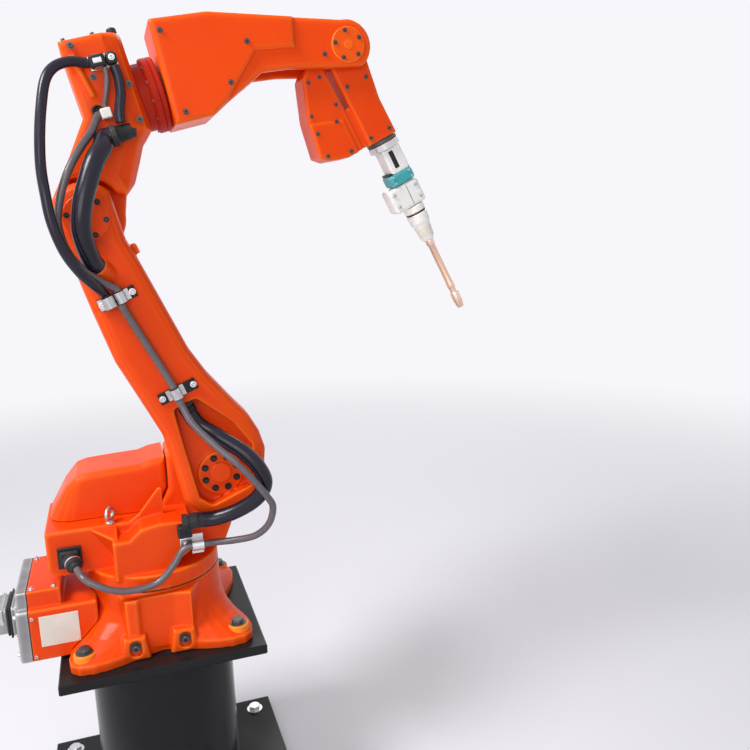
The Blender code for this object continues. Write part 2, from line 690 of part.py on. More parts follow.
def build_elbow():
    build_elbow_housing()
    start = (0, ARM_FAR + SEAT, 0)
    reducer = rod_mesh("axis3_reducer", start, (0, HUB_NEAR - SEAT, 0), ARM_TOP_RADIUS - 0.012)
    piece("axis3_reducer", reducer, elbow_frame, bare_steel)
    servo_motor(
        "axis3_motor", elbow_frame, ELBOW_FAR + SEAT, AXIS3_MOTOR_HALF, AXIS3_MOTOR_LENGTH
    )
    end = DISC_LENGTH - SEAT
    profile = [(0, end), (DISC_RADIUS - 0.003, end), (DISC_RADIUS, end - 0.003)]
    profile += [(DISC_RADIUS, 0.022), (DISC_RADIUS - 0.007, 0.018)]
    profile += [(DISC_RADIUS - 0.007, SEAT), (0, SEAT)]
    place = (ELBOW_FRONT, 0, ELBOW_RISE)
    turned("axis4_reducer", profile, elbow_frame, orange_paint, place)
    top = ELBOW_RISE + ELBOW_TOP
    start = (KNOB_FORWARD, -0.054, top - 0.006 + SEAT)
    end = (KNOB_FORWARD, -0.054, top + 0.011)
    knob = rod_mesh("elbow_eye", start, end, 0.009, sides=20)
    piece("elbow_eye", knob, elbow_frame, black_rubber)
    near = ELBOW_NEAR - SEAT
    low = (HOSE_BRACKET_REAR, ELBOW_NEAR - 0.044, HOSE_BRACKET_LOW)
    high = (0.128, near, HOSE_BRACKET_HIGH)
    bracket = box_mesh("elbow_hose_bracket", low, high)
    bevel(piece("elbow_hose_bracket", bracket, elbow_frame, black_rubber), 0.004)
    low = (CONNECTOR_REAR, ELBOW_NEAR - 0.024, CONNECTOR_LOW)
    high = (CONNECTOR_REAR + 0.020, near, CONNECTOR_HIGH)
    connector = box_mesh("elbow_connector", low, high)
    bevel(piece("elbow_connector", connector, elbow_frame, white_plastic), 0.002)
    low = (ELBOW_CLAMP_REAR, ELBOW_NEAR - 0.028, ELBOW_CLAMP_LOW)
    high = (0.144, near, 0.264)
    clamp = box_mesh("elbow_clamp", low, high)
    bevel(piece("elbow_clamp", clamp, elbow_frame, bare_steel), 0.003)


def along_forearm(*points):
    """Points given as a share of the way from the rear face to the nose, and a height."""
    rear = ELBOW_FRONT + DISC_LENGTH
    return [(rear + share * (FOREARM_LENGTH - rear), z) for share, z in points]


def build_forearm():
    """Deep box at the rear, stepped down to a slotted arm with a round nose."""
    rear = ELBOW_FRONT + DISC_LENGTH
    nose = FOREARM_LENGTH
    outline = along_forearm((0, -0.068), (0.026, 0.122), (0.316, 0.114), (1, 0.0495))
    outline += arc((nose, 0), NOSE_RADIUS, 74, -66, 12)
    outline += along_forearm((0.873, -0.034), (0.647, -0.017), (0.515, -0.012))
    outline += along_forearm((0.361, -0.038), (0.204, -0.068))
    casting = cast_mesh("forearm_housing", outline, -CHEEK_OUTER, CHEEK_OUTER, 0.007)
    casting = piece("forearm_housing", casting, forearm_frame, orange_paint)
    box = along_forearm((0, -0.068), (0.026, 0.122), (0.316, 0.114), (0.745, 0.073))
    box += along_forearm((0.711, 0.016), (0.501, 0.026), (0.294, -0.047), (0.204, -0.068))
    half = FOREARM_HALF_WIDTH
    join(casting, cast_mesh("deep_box", box, -half, half, 0.007))
    inner = CHEEK_INNER
    low = (rear + SLOT_START * (nose - rear), -inner, -CUT_REACH)
    cut(casting, box_mesh("slot", low, (nose + CUT_REACH, inner, SLOT_ROOF)))
    low = (nose - MOUTH_DEPTH, -inner, 0)
    cut(casting, box_mesh("mouth", low, (nose + CUT_REACH, inner, CUT_REACH)))


def build_wrist():
    """Slim body on pins in the fork, with a motor shell beside it across an open gap."""
    half = WRIST_HALF_WIDTH
    end = WRIST_LENGTH - FLANGE_THICK
    body = arc((0, 0), WRIST_BARREL_RADIUS, 70, 250, 14)
    body += [(0.030, -0.045), (end, -0.042), (end, 0.026), (0.120, 0.024), (0.060, 0.032)]
    casting = cast_mesh("wrist_housing", body, -half, half, 0.005)
    casting = piece("wrist_housing", casting, wrist_frame, orange_paint)
    shell = [(0.004, -0.068), (0.014, -0.058), (0.110, -0.055), (end - 0.002, -0.055)]
    shell += [(end - 0.002, -0.095), (0.181, -0.134), (0.166, -0.148), (0.092, -0.138)]
    shell += [(0.016, -0.108), (0.004, -0.094)]
    join(casting, cast_mesh("motor_shell", shell, -half + 0.003, half - 0.003, 0.005))
    bridge = [(0.108, -0.070), (end - 0.004, -0.070), (end - 0.004, -0.030), (0.108, -0.030)]
    join(casting, cast_mesh("bridge", bridge, -half + 0.006, half - 0.006, 0.002))
    collar = [(0.098, -0.138), (0.122, -0.068), (end - 0.001, -0.068), (end - 0.001, -0.095)]
    collar += [(0.182, -0.136), (0.167, -0.151)]
    join(casting, cast_mesh("collar", collar, -half - 0.0005, half + 0.0005, 0.004))
    reach = CHEEK_INNER - SEAT
    join(casting, rod_mesh("pins", (0, -reach, 0), (0, reach, 0), PIN_RADIUS))


def build_tool():
    """Flange, mount, clamp and torch, one behind the other on the last axis."""
    start = (SEAT - FLANGE_THICK, 0, 0)
    flange = rod_mesh("tool_flange", start, (0, 0, 0), FLANGE_RADIUS)
    piece("tool_flange", flange, tool_frame, black_paint)
    plate = rod_mesh("torch_mount", (SEAT, 0, 0), (0.014, 0, 0), FLANGE_RADIUS + 0.001)
    mount = piece("torch_mount", plate, tool_frame, teal_paint)
    end = MOUNT_LENGTH
    block = [(0.012, -0.020), (0.012, 0.026), (end, 0.028), (end, -0.030), (0.045, -0.030)]
    join(mount, cast_mesh("sensor", block, -0.026, 0.026, 0.006))
    block = [(end + SEAT, -0.048), (end + SEAT, 0.030), (CLAMP_END, 0.030)]
    block += [(CLAMP_END, -0.040), (CLAMP_END - 0.010, -0.048)]
    clamp = cast_mesh("torch_clamp", block, -0.024, 0.024, 0.006)
    piece("torch_clamp", clamp, tool_frame, white_plastic)
    length = BODY_END - CLAMP_END
    profile = [(0, length), (0.012, length), (0.016, length - 0.006), (0.019, 0.050)]
    profile += [(0.023, 0.040), (0.024, SEAT), (0, SEAT)]
    turned("torch_body", profile, tool_frame, white_plastic, (CLAMP_END, 0, 0))
    start = (BODY_END + SEAT, 0, 0)
    neck = rod_mesh("torch_neck", start, (NOZZLE_START, 0, 0), 0.0080, sides=24)
    piece("torch_neck", neck, tool_frame, copper)
    length = TORCH_LENGTH - NOZZLE_START
    profile = [(0, length), (0.0070, length), (0.0100, length - 0.016), (0.0105, 0.003)]
    profile += [(0.0090, SEAT), (0, SEAT)]
    turned("torch_nozzle", profile, tool_frame, copper, (NOZZLE_START, 0, 0))


# The hoses. Each route is a list of stretches, given in the frame of the body they follow


def smooth_route(places, spacing):
    """Points about one spacing apart on a smooth curve, with straight ends."""
    fine = 24
    dense = []
    for i in range(1, len(places) - 2):
        a, b, c, d = places[i - 1 : i + 3]
        for k in range(fine):
            t = k / fine
            bend = (2 * a - 5 * b + 4 * c - d) * t**2 + (3 * b - a - 3 * c + d) * t**3
            dense.append(0.5 * (2 * b + (c - a) * t + bend))
    dense.append(places[-2])
    length = sum((q - p).length for p, q in zip(dense, dense[1:]))
    count = max(2, round(length / spacing))
    picked = [dense[0]]
    walked = 0.0
    for p, q in zip(dense, dense[1:]):
        walked += (q - p).length
        if walked >= len(picked) * length / count and len(picked) < count:
            picked.append(q)
    return [places[0]] + picked + places[-2:]


def hose(name, radius, material, *stretches):
    """A round hose or cable along its route, as a curve with closed ends."""
    places = []
    for frame, points in stretches:
        places += [frame.matrix_world @ Vector(point) for point in points]
    points = smooth_route(places, 4 * radius)
    curve = bpy.data.curves.new(name, "CURVE")
    curve.dimensions = "3D"
    curve.bevel_depth = radius
    curve.bevel_resolution = 2
    curve.use_fill_caps = True
    spline = curve.splines.new("POLY")
    spline.points.add(len(points) - 1)
    for point, place in zip(spline.points, points):
        point.co = (*place, 1.0)
    obj = bpy.data.objects.new(name, curve)
    PIECES.objects.link(obj)
    curve.materials.append(material)


def leaves(place, direction, stub=0.005):
    """The first two points of a hose that leaves a face straight, a seat's gap from it."""
    along = Vector(direction).normalized()
    return [Vector(place) + along * SEAT, Vector(place) + along * (SEAT + stub)]


def meets(place, direction, stub=0.005):
    """The last two points of a hose that meets a face, whose own direction this is."""
    return leaves(place, direction, stub)[::-1]


def build_turret_hoses():
    rear, front = FRONT_CLAMP
    route = leaves(COLLAR_END, COLLAR_WAY) + [(-0.136, -0.133, 0.178), (-0.112, -0.143, 0.164)]
    route += [(-0.082, -0.147, 0.150), (-0.045, -0.147, 0.144), (0.000, -0.146, 0.152)]
    route += [(0.032, -0.141, 0.180), (0.050, -0.135, 0.203)]
    route += meets((rear, -0.133, 0.212), (-1, 0, 0))
    hose("turret_cable", CABLE_RADIUS, grey_rubber, (turret_frame, route))
    y, z = GLAND_PLACE
    low = leaves((GLAND_FRONT, y, z), (1, 0, 0))
    low += [(0.123, -0.141, z), (0.164, -0.154, 0.280), (0.203, -0.169, 0.306)]
    high = [(-0.0345, -0.178, -0.0665), (-0.0006, -0.180, -0.0700), (0.0403, -0.170, -0.0581)]
    high += [(0.085, -0.147, -0.030), (0.118, -0.119, -0.006)]
    high += meets((GLAND_END, GLAND_DEPTH, 0), (-1, 0, 0))
    hose("lower_hose", LOWER_HOSE_RADIUS, black_rubber, (turret_frame, low), (arm_frame, high))
    low = leaves((front, -0.133, 0.212), (1, 0, 0))
    low += [(0.125, -0.135, 0.212), (0.158, -0.149, 0.216)]
    low += [(0.196, -0.172, 0.229), (0.221, -0.188, 0.256)]
    high = [(-0.0795, -0.198, -0.0590), (-0.0513, -0.202, -0.0581), (-0.0041, -0.201, -0.0479)]
    high += [(0.0392, -0.193, -0.0340), (0.0824, -0.176, -0.0147), (0.1343, -0.152, 0.0035)]
    high += [(0.165, -0.139, 0.0060)]
    high += meets((LOWER_CLAMP_AT - CLAMP_HALF, -0.136, 0.0060), (-1, 0, 0))
    hose("lower_cable", CABLE_RADIUS, grey_rubber, (turret_frame, low), (arm_frame, high))


def build_arm_hoses():
    top = UPPER_CLAMP_AT + CLAMP_HALF
    route = leaves((LOWER_CLAMP_AT + CLAMP_HALF, -0.134, 0.004), (1, 0, 0))
    route += [(0.270, -0.130, 0.0080), (0.340, -0.130, 0.0140)]
    route += meets((UPPER_CLAMP_AT - CLAMP_HALF, -0.134, 0.0180), (-1, 0, 0))
    hose("arm_cable", CABLE_RADIUS, grey_rubber, (arm_frame, route))
    low = leaves(PORT_END, PORT_WAY, 0.012) + [(0.515, -0.159, 0.0240), (0.542, -0.170, 0.0180)]
    high = [(-0.0078, -0.175, 0.0005), (0.0063, -0.175, 0.0295), (0.0264, -0.169, 0.0600)]
    high += [(0.0452, -0.160, 0.0860), (0.0670, -0.143, 0.1070)]
    middle = (HOSE_BRACKET_LOW + HOSE_BRACKET_HIGH) / 2
    high += meets((HOSE_BRACKET_REAR, -0.124, middle), (-1, 0, 0), 0.012)
    hose("upper_hose", UPPER_HOSE_RADIUS, black_rubber, (arm_frame, low), (elbow_frame, high))
    low = leaves((top, -0.137, 0.012), (1, 0, 0))
    low += [(0.4504, -0.146, 0.0300), (0.4848, -0.161, 0.0484), (0.5228, -0.170, 0.0551)]
    high = [(-0.0498, -0.172, -0.0094), (-0.0418, -0.172, 0.0174), (-0.0253, -0.170, 0.0486)]
    high += [(-0.0008, -0.166, 0.0826), (0.0290, -0.149, 0.1128), (0.0590, -0.127, 0.1390)]
    high += meets((CONNECTOR_REAR, -0.110, 0.164), (-1, 0, 0))
    hose("upper_cable", CABLE_RADIUS, grey_rubber, (arm_frame, low), (elbow_frame, high))


def build_elbow_hoses():
    top = UPPER_CLAMP_AT + CLAMP_HALF
    high = leaves((ELBOW_CLAMP_REAR, -0.112, 0.252), (-1, 0, 0)) + [(0.0646, -0.124, 0.258)]
    high += [(0.036, -0.137, 0.2530), (0.0140, -0.150, 0.2333), (-0.0071, -0.162, 0.1916)]
    high += [(-0.026, -0.171, 0.1448), (-0.041, -0.180, 0.097)]
    low = [(0.6208, -0.194, 0.0414), (0.5758, -0.197, 0.0540), (0.5244, -0.193, 0.0590)]
    low += [(0.4809, -0.184, 0.0530), (0.4500, -0.166, 0.0430)]
    low += meets((top, -0.138, 0.0350), (1, 0, 0))
    hose("loop_hose", LOOP_HOSE_RADIUS, black_rubber, (elbow_frame, high), (arm_frame, low))
    low = ELBOW_CLAMP_LOW
    route = leaves((0.096, -0.110, CONNECTOR_HIGH), (0, 0, 1)) + [(0.1005, -0.112, 0.188)]
    route += [(0.108, -0.114, 0.203), (0.1145, -0.115, 0.219)]
    route += meets((0.117, -0.115, low), (0, 0, -1))
    hose("elbow_jumper", JUMPER_RADIUS, grey_rubber, (elbow_frame, route))
    route = leaves((0.134, -0.112, low), (0, 0, -1))
    route += [(0.1345, -0.114, 0.218), (0.129, -0.117, 0.190), (0.118, -0.120, 0.165)]
    route += meets((0.113, -0.121, HOSE_BRACKET_HIGH), (0, 0, 1))
    hose("elbow_hose_tail", LOOP_HOSE_RADIUS, black_rubber, (elbow_frame, route))


build_pedestal()
build_base_casting()
build_connector_box()
build_turret()
build_lower_arm()
build_elbow()
build_forearm()
build_wrist()
build_tool()
bpy.context.view_layer.update()
build_turret_hoses()
build_arm_hoses()
build_elbow_hoses()
bpy.context.view_layer.update()
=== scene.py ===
"""A six-axis arc welding robot on its pedestal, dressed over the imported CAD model."""

from itertools import product
from math import cos, pi, radians, sin

import bmesh
import bpy
from mathutils import Matrix, Vector, noise


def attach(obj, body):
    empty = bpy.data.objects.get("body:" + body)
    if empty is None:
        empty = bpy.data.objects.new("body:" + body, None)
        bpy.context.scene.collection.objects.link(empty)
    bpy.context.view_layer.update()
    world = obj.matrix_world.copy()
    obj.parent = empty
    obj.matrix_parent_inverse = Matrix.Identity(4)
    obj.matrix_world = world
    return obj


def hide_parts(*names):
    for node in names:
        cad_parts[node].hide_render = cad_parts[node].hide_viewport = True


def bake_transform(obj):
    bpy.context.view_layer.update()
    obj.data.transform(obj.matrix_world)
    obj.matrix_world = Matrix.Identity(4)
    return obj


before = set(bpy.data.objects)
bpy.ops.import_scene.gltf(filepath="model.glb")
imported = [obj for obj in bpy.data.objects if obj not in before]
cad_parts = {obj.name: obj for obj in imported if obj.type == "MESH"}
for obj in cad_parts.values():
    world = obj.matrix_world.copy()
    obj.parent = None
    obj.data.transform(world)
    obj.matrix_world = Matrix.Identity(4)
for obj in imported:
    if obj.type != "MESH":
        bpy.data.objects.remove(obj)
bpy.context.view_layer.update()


# Camera: a hand-held shot from chest height, looking a little down at the robot's right
# side. The lens and the tilt were worked out from the corners of the plates.

CAMERA_PLACE = Vector((-0.0369, -1.6415, 1.3021))
CAMERA_YAW = radians(-18.7128)
CAMERA_PITCH = radians(11.5876)
CAMERA_ROLL = radians(1.8307)
FOCAL_SHARE = 772.634 / 750


def place_camera():
    y, p, r = CAMERA_YAW, CAMERA_PITCH, CAMERA_ROLL
    ahead = Vector((-sin(y) * cos(p), cos(y) * cos(p), -sin(p)))
    level = Vector((cos(y), sin(y), 0))
    down = ahead.cross(level)
    right = cos(r) * level + sin(r) * down
    up = sin(r) * level - cos(r) * down
    data = bpy.data.cameras.new("camera")
    data.sensor_width = 36.0
    data.lens = data.sensor_width * FOCAL_SHARE
    camera = bpy.data.objects.new("camera", data)
    bpy.context.scene.collection.objects.link(camera)
    turn = Matrix((right, up, -ahead)).transposed().to_4x4()
    camera.matrix_world = Matrix.Translation(CAMERA_PLACE) @ turn
    bpy.context.scene.camera = camera


place_camera()


# Studio: a pale level floor that keeps the shadow, a white surround, and large soft lamps.
# The surround shows white to the camera and in reflections, and lights the object mildly.

SURROUND_LIGHT = 0.34
LAMPS = {
    "key_lamp": ((-2.2, -0.9, 4.0), 1.4, 150.0),
    "front_lamp": ((-1.2, -3.4, 2.0), 2.4, 46.0),
    "back_lamp": ((1.6, 3.0, 3.0), 2.0, 44.0),
}


def seen_directly(tree):
    """A mask that is 1 for what the camera, a reflection or a glass looks at."""
    path = tree.nodes.new("ShaderNodeLightPath")
    mask = path.outputs["Is Camera Ray"]
    for other in ("Is Glossy Ray", "Is Transmission Ray"):
        both = tree.nodes.new("ShaderNodeMath")
        both.operation = "MAXIMUM"
        tree.links.new(mask, both.inputs[0])
        tree.links.new(path.outputs[other], both.inputs[1])
        mask = both.outputs[0]
    return mask


def light_surround():
    world = bpy.data.worlds.new("surround")
    bpy.context.scene.world = world
    world.use_nodes = True
    tree = world.node_tree
    lit = tree.nodes["Background"]
    lit.inputs["Color"].default_value = (0.96, 0.95, 1.0, 1)
    lit.inputs["Strength"].default_value = SURROUND_LIGHT
    seen = tree.nodes.new("ShaderNodeBackground")
    seen.inputs["Color"].default_value = (0.93, 0.92, 0.96, 1)
    mix = tree.nodes.new("ShaderNodeMixShader")
    tree.links.new(seen_directly(tree), mix.inputs["Fac"])
    tree.links.new(lit.outputs[0], mix.inputs[1])
    tree.links.new(seen.outputs[0], mix.inputs[2])
    tree.links.new(mix.outputs[0], tree.nodes["World Output"].inputs["Surface"])


def hang_lamps():
    for name, (place, size, power) in LAMPS.items():
        data = bpy.data.lights.new(name, "AREA")
        data.shape = "DISK"
        data.size = size
        data.energy = power
        lamp = bpy.data.objects.new(name, data)
        bpy.context.scene.collection.objects.link(lamp)
        lamp.location = place
        aim = Vector((0.1, 0, 0.9)) - lamp.location
        lamp.rotation_euler = aim.to_track_quat("-Z", "Y").to_euler()


def lay_floor():
    """A large disc, pale near the robot and fading into the surround far away."""
    bm = bmesh.new()
    bmesh.ops.create_circle(bm, cap_ends=True, segments=96, radius=9.0)
    mesh = bpy.data.meshes.new("floor")
    bm.to_mesh(mesh)
    bm.free()
    floor = bpy.data.objects.new("floor", mesh)
    bpy.context.scene.collection.objects.link(floor)
    floor.location.z = -0.0005
    made = bpy.data.materials.new("studio_floor")
    made.use_nodes = True
    tree = made.node_tree
    shader = tree.nodes["Principled BSDF"]
    shader.inputs["Base Color"].default_value = (0.80, 0.79, 0.83, 1)
    shader.inputs["Roughness"].default_value = 0.55
    white = tree.nodes.new("ShaderNodeEmission")
    white.inputs["Color"].default_value = (0.93, 0.92, 0.96, 1)
    where = tree.nodes.new("ShaderNodeTexCoord")
    far = tree.nodes.new("ShaderNodeVectorMath")
    far.operation = "LENGTH"
    tree.links.new(where.outputs["Object"], far.inputs[0])
    fade = tree.nodes.new("ShaderNodeMapRange")
    fade.interpolation_type = "SMOOTHSTEP"
    fade.inputs["From Min"].default_value = 1.6
    fade.inputs["From Max"].default_value = 5.0
    tree.links.new(far.outputs["Value"], fade.inputs["Value"])
    mix = tree.nodes.new("ShaderNodeMixShader")
    tree.links.new(fade.outputs["Result"], mix.inputs["Fac"])
    tree.links.new(shader.outputs[0], mix.inputs[1])
    tree.links.new(white.outputs[0], mix.inputs[2])
    tree.links.new(mix.outputs[0], tree.nodes["Material Output"].inputs["Surface"])
    mesh.materials.append(made)


light_surround()
hang_lamps()
lay_floor()
bpy.context.scene.view_settings.view_transform = "Standard"


# Pedestal: two thick flame-cut plates and a round tube, welded, ground smooth at the rims
# and painted in gloss black. The foot plate is bolted to the ground through its corners.

PEDESTAL_TOP = 0.450
PLATE_THICK = 0.020
FOOT_HALF = 0.270
TUBE_RADIUS = 0.150
TUBE_SIDES = 160
SEAT = 0.0003
WELDED = 1e-6
ANCHOR_INSET = 0.045
ANCHOR_RADIUS = 0.015
WELD_PROFILE = ((0.0, 0.0098), (0.0035, 0.0075), (0.0068, 0.0040), (0.0098, SEAT))
WELD_SIDES = 220
WELD_RIPPLES = 52


def surface_group():
    """Marks that every finish shares: broad stains, fine grain and an edge mask, for edge wear and for
    a painted highlight on edges.
    """
    group = bpy.data.node_groups.new("surface_marks", "ShaderNodeTree")
    for name, value in (("Stain Scale", 6.0), ("Grain Scale", 400.0), ("Edge Reach", 0.05)):
        made = group.interface.new_socket(name, in_out="INPUT", socket_type="NodeSocketFloat")
        made.default_value = value
    for name in ("Stain", "Grain", "Edge"):
        group.interface.new_socket(name, in_out="OUTPUT", socket_type="NodeSocketFloat")
    nodes, links = group.nodes, group.links
    entry = nodes.new("NodeGroupInput")
    leave = nodes.new("NodeGroupOutput")
    where = nodes.new("ShaderNodeTexCoord")
    for name, detail in (("Stain", 5.0), ("Grain", 2.0)):
        pattern = nodes.new("ShaderNodeTexNoise")
        pattern.inputs["Detail"].default_value = detail
        links.new(where.outputs["Object"], pattern.inputs["Vector"])
        links.new(entry.outputs[name + " Scale"], pattern.inputs["Scale"])
        links.new(pattern.outputs["Fac"], leave.inputs[name])
    shape = nodes.new("ShaderNodeNewGeometry")
    over = nodes.new("ShaderNodeMath")
    over.operation = "SUBTRACT"
    over.inputs[1].default_value = 0.5
    links.new(shape.outputs["Pointiness"], over.inputs[0])
    share = nodes.new("ShaderNodeMath")
    share.operation = "DIVIDE"
    share.use_clamp = True
    links.new(over.outputs[0], share.inputs[0])
    links.new(entry.outputs["Edge Reach"], share.inputs[1])
    links.new(share.outputs[0], leave.inputs["Edge"])
    return group


SURFACE = surface_group()


def mixed(tree, mask, low, high):
    """A colour between two, by a mask."""
    mix = tree.nodes.new("ShaderNodeMix")
    mix.data_type = "RGBA"
    tree.links.new(mask, mix.inputs["Factor"])
    for name, value in (("A", low), ("B", high)):
        socket = next(s for s in mix.inputs if s.name == name and s.type == "RGBA")
        if isinstance(value, bpy.types.NodeSocket):
            tree.links.new(value, socket)
        else:
            socket.default_value = (*value, 1)
    return next(s for s in mix.outputs if s.type == "RGBA")


def ranged(tree, value, low, high, start=0.3, stop=0.7):
    """A number from low to high as the value goes from start to stop."""
    span = tree.nodes.new("ShaderNodeMapRange")
    span.inputs["From Min"].default_value = start
    span.inputs["From Max"].default_value = stop
    span.inputs["To Min"].default_value = low
    span.inputs["To Max"].default_value = high
    tree.links.new(value, span.inputs["Value"])
    return span.outputs["Result"]


def finish(
    name,
    colour,
    stained,
    edge,
    roughness,
    metallic=0.0,
    coat=0.0,
    stain_scale=6.0,
    grain_scale=400.0,
    grain_depth=0.00004,
    edge_reach=0.06,
    specular=0.5,
):
    """A finish with stains, fine grain and lighter edges, partly edge wear and partly a painted
    highlight, on a Principled shader.
    """
    made = bpy.data.materials.new(name)
    made.use_nodes = True
    tree = made.node_tree
    shader = tree.nodes["Principled BSDF"]
    marks = tree.nodes.new("ShaderNodeGroup")
    marks.node_tree = SURFACE
    marks.inputs["Stain Scale"].default_value = stain_scale
    marks.inputs["Grain Scale"].default_value = grain_scale
    marks.inputs["Edge Reach"].default_value = edge_reach
    mask = ranged(tree, marks.outputs["Stain"], 0.0, 1.0)
    plain = mixed(tree, mask, colour, stained)
    # Lighter edges by the edge mask: edge wear, and a painted highlight where light catches an edge.
    wear_and_sheen = mixed(tree, marks.outputs["Edge"], plain, edge)
    tree.links.new(wear_and_sheen, shader.inputs["Base Color"])
    low, high = roughness
    tree.links.new(ranged(tree, marks.outputs["Stain"], low, high), shader.inputs["Roughness"])
    shader.inputs["Metallic"].default_value = metallic
    shader.inputs["Coat Weight"].default_value = coat
    shader.inputs["Specular IOR Level"].default_value = specular
    bump = tree.nodes.new("ShaderNodeBump")
    bump.inputs["Distance"].default_value = grain_depth
    tree.links.new(marks.outputs["Grain"], bump.inputs["Height"])
    tree.links.new(bump.outputs["Normal"], shader.inputs["Normal"])
    return made


black_gloss = finish(
    "black_gloss",
    (0.006, 0.006, 0.007),
    (0.010, 0.009, 0.010),
    (0.014, 0.014, 0.015),
    (0.12, 0.24),
    grain_scale=260.0,
    grain_depth=0.00002,
    specular=0.13,
)
zinc = finish(
    "zinc_plate",
    (0.40, 0.40, 0.41),
    (0.30, 0.29, 0.28),
    (0.62, 0.62, 0.63),
    (0.30, 0.45),
    metallic=1.0,
    stain_scale=40.0,
)


def dress(node, material):
    """A CAD node keeps its shape and gets its real finish."""
    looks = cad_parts[node].data.materials
    looks.clear()
    looks.append(material)


BROAD_FACE = 0.00003
RIM = 0.0008


def is_broad(face):
    """A face that is wide enough to carry a rim of its own in the lighter edge colour."""
    narrowest = min(edge.calc_length() for edge in face.edges)
    return face.calc_area() > BROAD_FACE and (len(face.verts) > 4 or narrowest > 3 * RIM)


def new_piece(name, bm, body, slot, *materials, at=None, angle=35):
    """A finished mesh as a piece that rides on a body, built in the frame that is given."""
    broad = [face for face in bm.faces if is_broad(face)]
    bmesh.ops.inset_individual(bm, faces=broad, thickness=RIM, use_even_offset=True)
    if at is not None:
        bm.transform(at)
    bmesh.ops.recalc_face_normals(bm, faces=bm.faces)
    mesh = bpy.data.meshes.new(name)
    bm.to_mesh(mesh)
    bm.free()
    mesh.shade_smooth()
    mesh.set_sharp_from_angle(angle=radians(angle))
    for material in materials:
        mesh.materials.append(material)
    obj = bpy.data.objects.new(name, mesh)
    bpy.context.scene.collection.objects.link(obj)
    if body:
        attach(obj, body)
    return obj


def stand_on(place, direction, spin=0.0):
    """A frame with its Z along a direction, at a place."""
    turn = Vector(direction).to_track_quat("Z", "Y").to_matrix().to_4x4()
    return Matrix.Translation(Vector(place)) @ turn @ Matrix.Rotation(spin, 4, "Z")


def loft(bm, rings, closed_ends=True, material=0):
    """Faces between rings of points, each ring with as many points as the next."""
    made = [[bm.verts.new(p) for p in points] for points in rings]
    faces = []
    for lower, upper in zip(made, made[1:]):
        count = len(lower)
        for k in range(count):
            n = (k + 1) % count
            faces.append(bm.faces.new((lower[k], lower[n], upper[n], upper[k])))
    if closed_ends:
        faces.append(bm.faces.new(made[0][::-1]))
        faces.append(bm.faces.new(made[-1]))
    for face in faces:
        face.material_index = material


def ring(at, radius, height, sides=18, corners=0):
    """A ring of points, round or with straight sides between its corners."""
    points = []
    for k in range(sides):
        a = 2 * pi * k / sides
        r = radius
        if corners:
            part = (a % (2 * pi / corners)) - pi / corners
            r = radius * cos(pi / corners) / cos(part)
        points.append(at @ Vector((r * cos(a), r * sin(a), height)))
    return points


def turned(bm, at, profile, sides, material=0):
    """A turned shape: rings of (radius, height), its ends closed."""
    loft(bm, [ring(at, r, h, sides) for r, h in profile], material=material)


def hex_screw(bm, at, radius):
    """A hexagon-head bolt with a round chamfer, on a washer."""
    low = 0.18 * radius
    turned(bm, at, [(1.35 * radius, 0), (1.35 * radius, low)], 24)
    rings = [ring(at, radius, low, corners=6), ring(at, radius, low + 0.5 * radius, corners=6)]
    rings += [ring(at, 0.86 * radius, low + 0.62 * radius)]
    loft(bm, rings)


def lay_weld(bm, level, way):
    """A rippled fillet round the tube, on a plate below it or under a plate above it."""
    turns = [2 * pi * k / WELD_SIDES for k in range(WELD_SIDES)]
    rings = []
    for out, rise in WELD_PROFILE:
        points = []
        for a in turns:
            drift = noise.noise((9 * cos(a), 9 * sin(a), 2))
            swell = 1 + 0.10 * sin(a * WELD_RIPPLES) + 0.08 * drift
            reach = TUBE_RADIUS + out * swell
            points.append((reach * cos(a), reach * sin(a), level + way * rise * swell))
        rings.append(points)
    inner = 0.999 * TUBE_RADIUS
    rings.append([(inner * cos(a), inner * sin(a), level + way * SEAT) for a in turns])
    loft(bm, rings + [rings[0]], closed_ends=False)


def dress_pedestal():
    for node in ("foot_plate", "top_plate"):
        dress(node, black_gloss)
    bm = bmesh.new()
    low, high = PLATE_THICK + SEAT, PEDESTAL_TOP - PLATE_THICK - SEAT
    turned(bm, Matrix(), [(TUBE_RADIUS, low), (TUBE_RADIUS, high)], TUBE_SIDES)
    tube = new_piece("tube", bm, "base", "black_paint", black_gloss)
    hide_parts("pedestal_tube")
    bm = bmesh.new()
    reach = FOOT_HALF - ANCHOR_INSET
    for x in (-reach, reach):
        for y in (-reach, reach):
            at = stand_on((x, y, PLATE_THICK), (0, 0, 1), 0.3 * x / reach)
            hex_screw(bm, at, ANCHOR_RADIUS)
    new_piece("anchor_bolts", bm, "base", "machined_steel", zinc)
    bm = bmesh.new()
    lay_weld(bm, PLATE_THICK, 1)
    lay_weld(bm, PEDESTAL_TOP - PLATE_THICK, -1)
    bmesh.ops.remove_doubles(bm, verts=bm.verts, dist=WELDED)
    new_piece("weld_beads", bm, "base", "black_paint", black_gloss, angle=60)


dress_pedestal()


# Base: an iron casting with four feet, and behind it the connector box. Castings are
# sand cast, filled, and sprayed in orange enamel that pools in corners; their lighter,
# yellower edges are a painted highlight where light catches them.

FOOT_BOLT_OUT = 0.150
FOOT_BOLT = 0.0125
BOSS_FOOT = 0.020
BOSS_TOP = 0.0345
BOSS = [(0.0215, 0), (0.0215, 0.0125), (0.0195, 0.0145)]
PAD_FACE = 0.1557
PAD_BOLTS = (-0.054, 0.042)
PAD_BOLT_RISE = 0.027
PAD_BOLT = 0.0072
SKIN_VOXEL = 0.0025
AT_BASE = Matrix.Translation((0, 0, PEDESTAL_TOP))

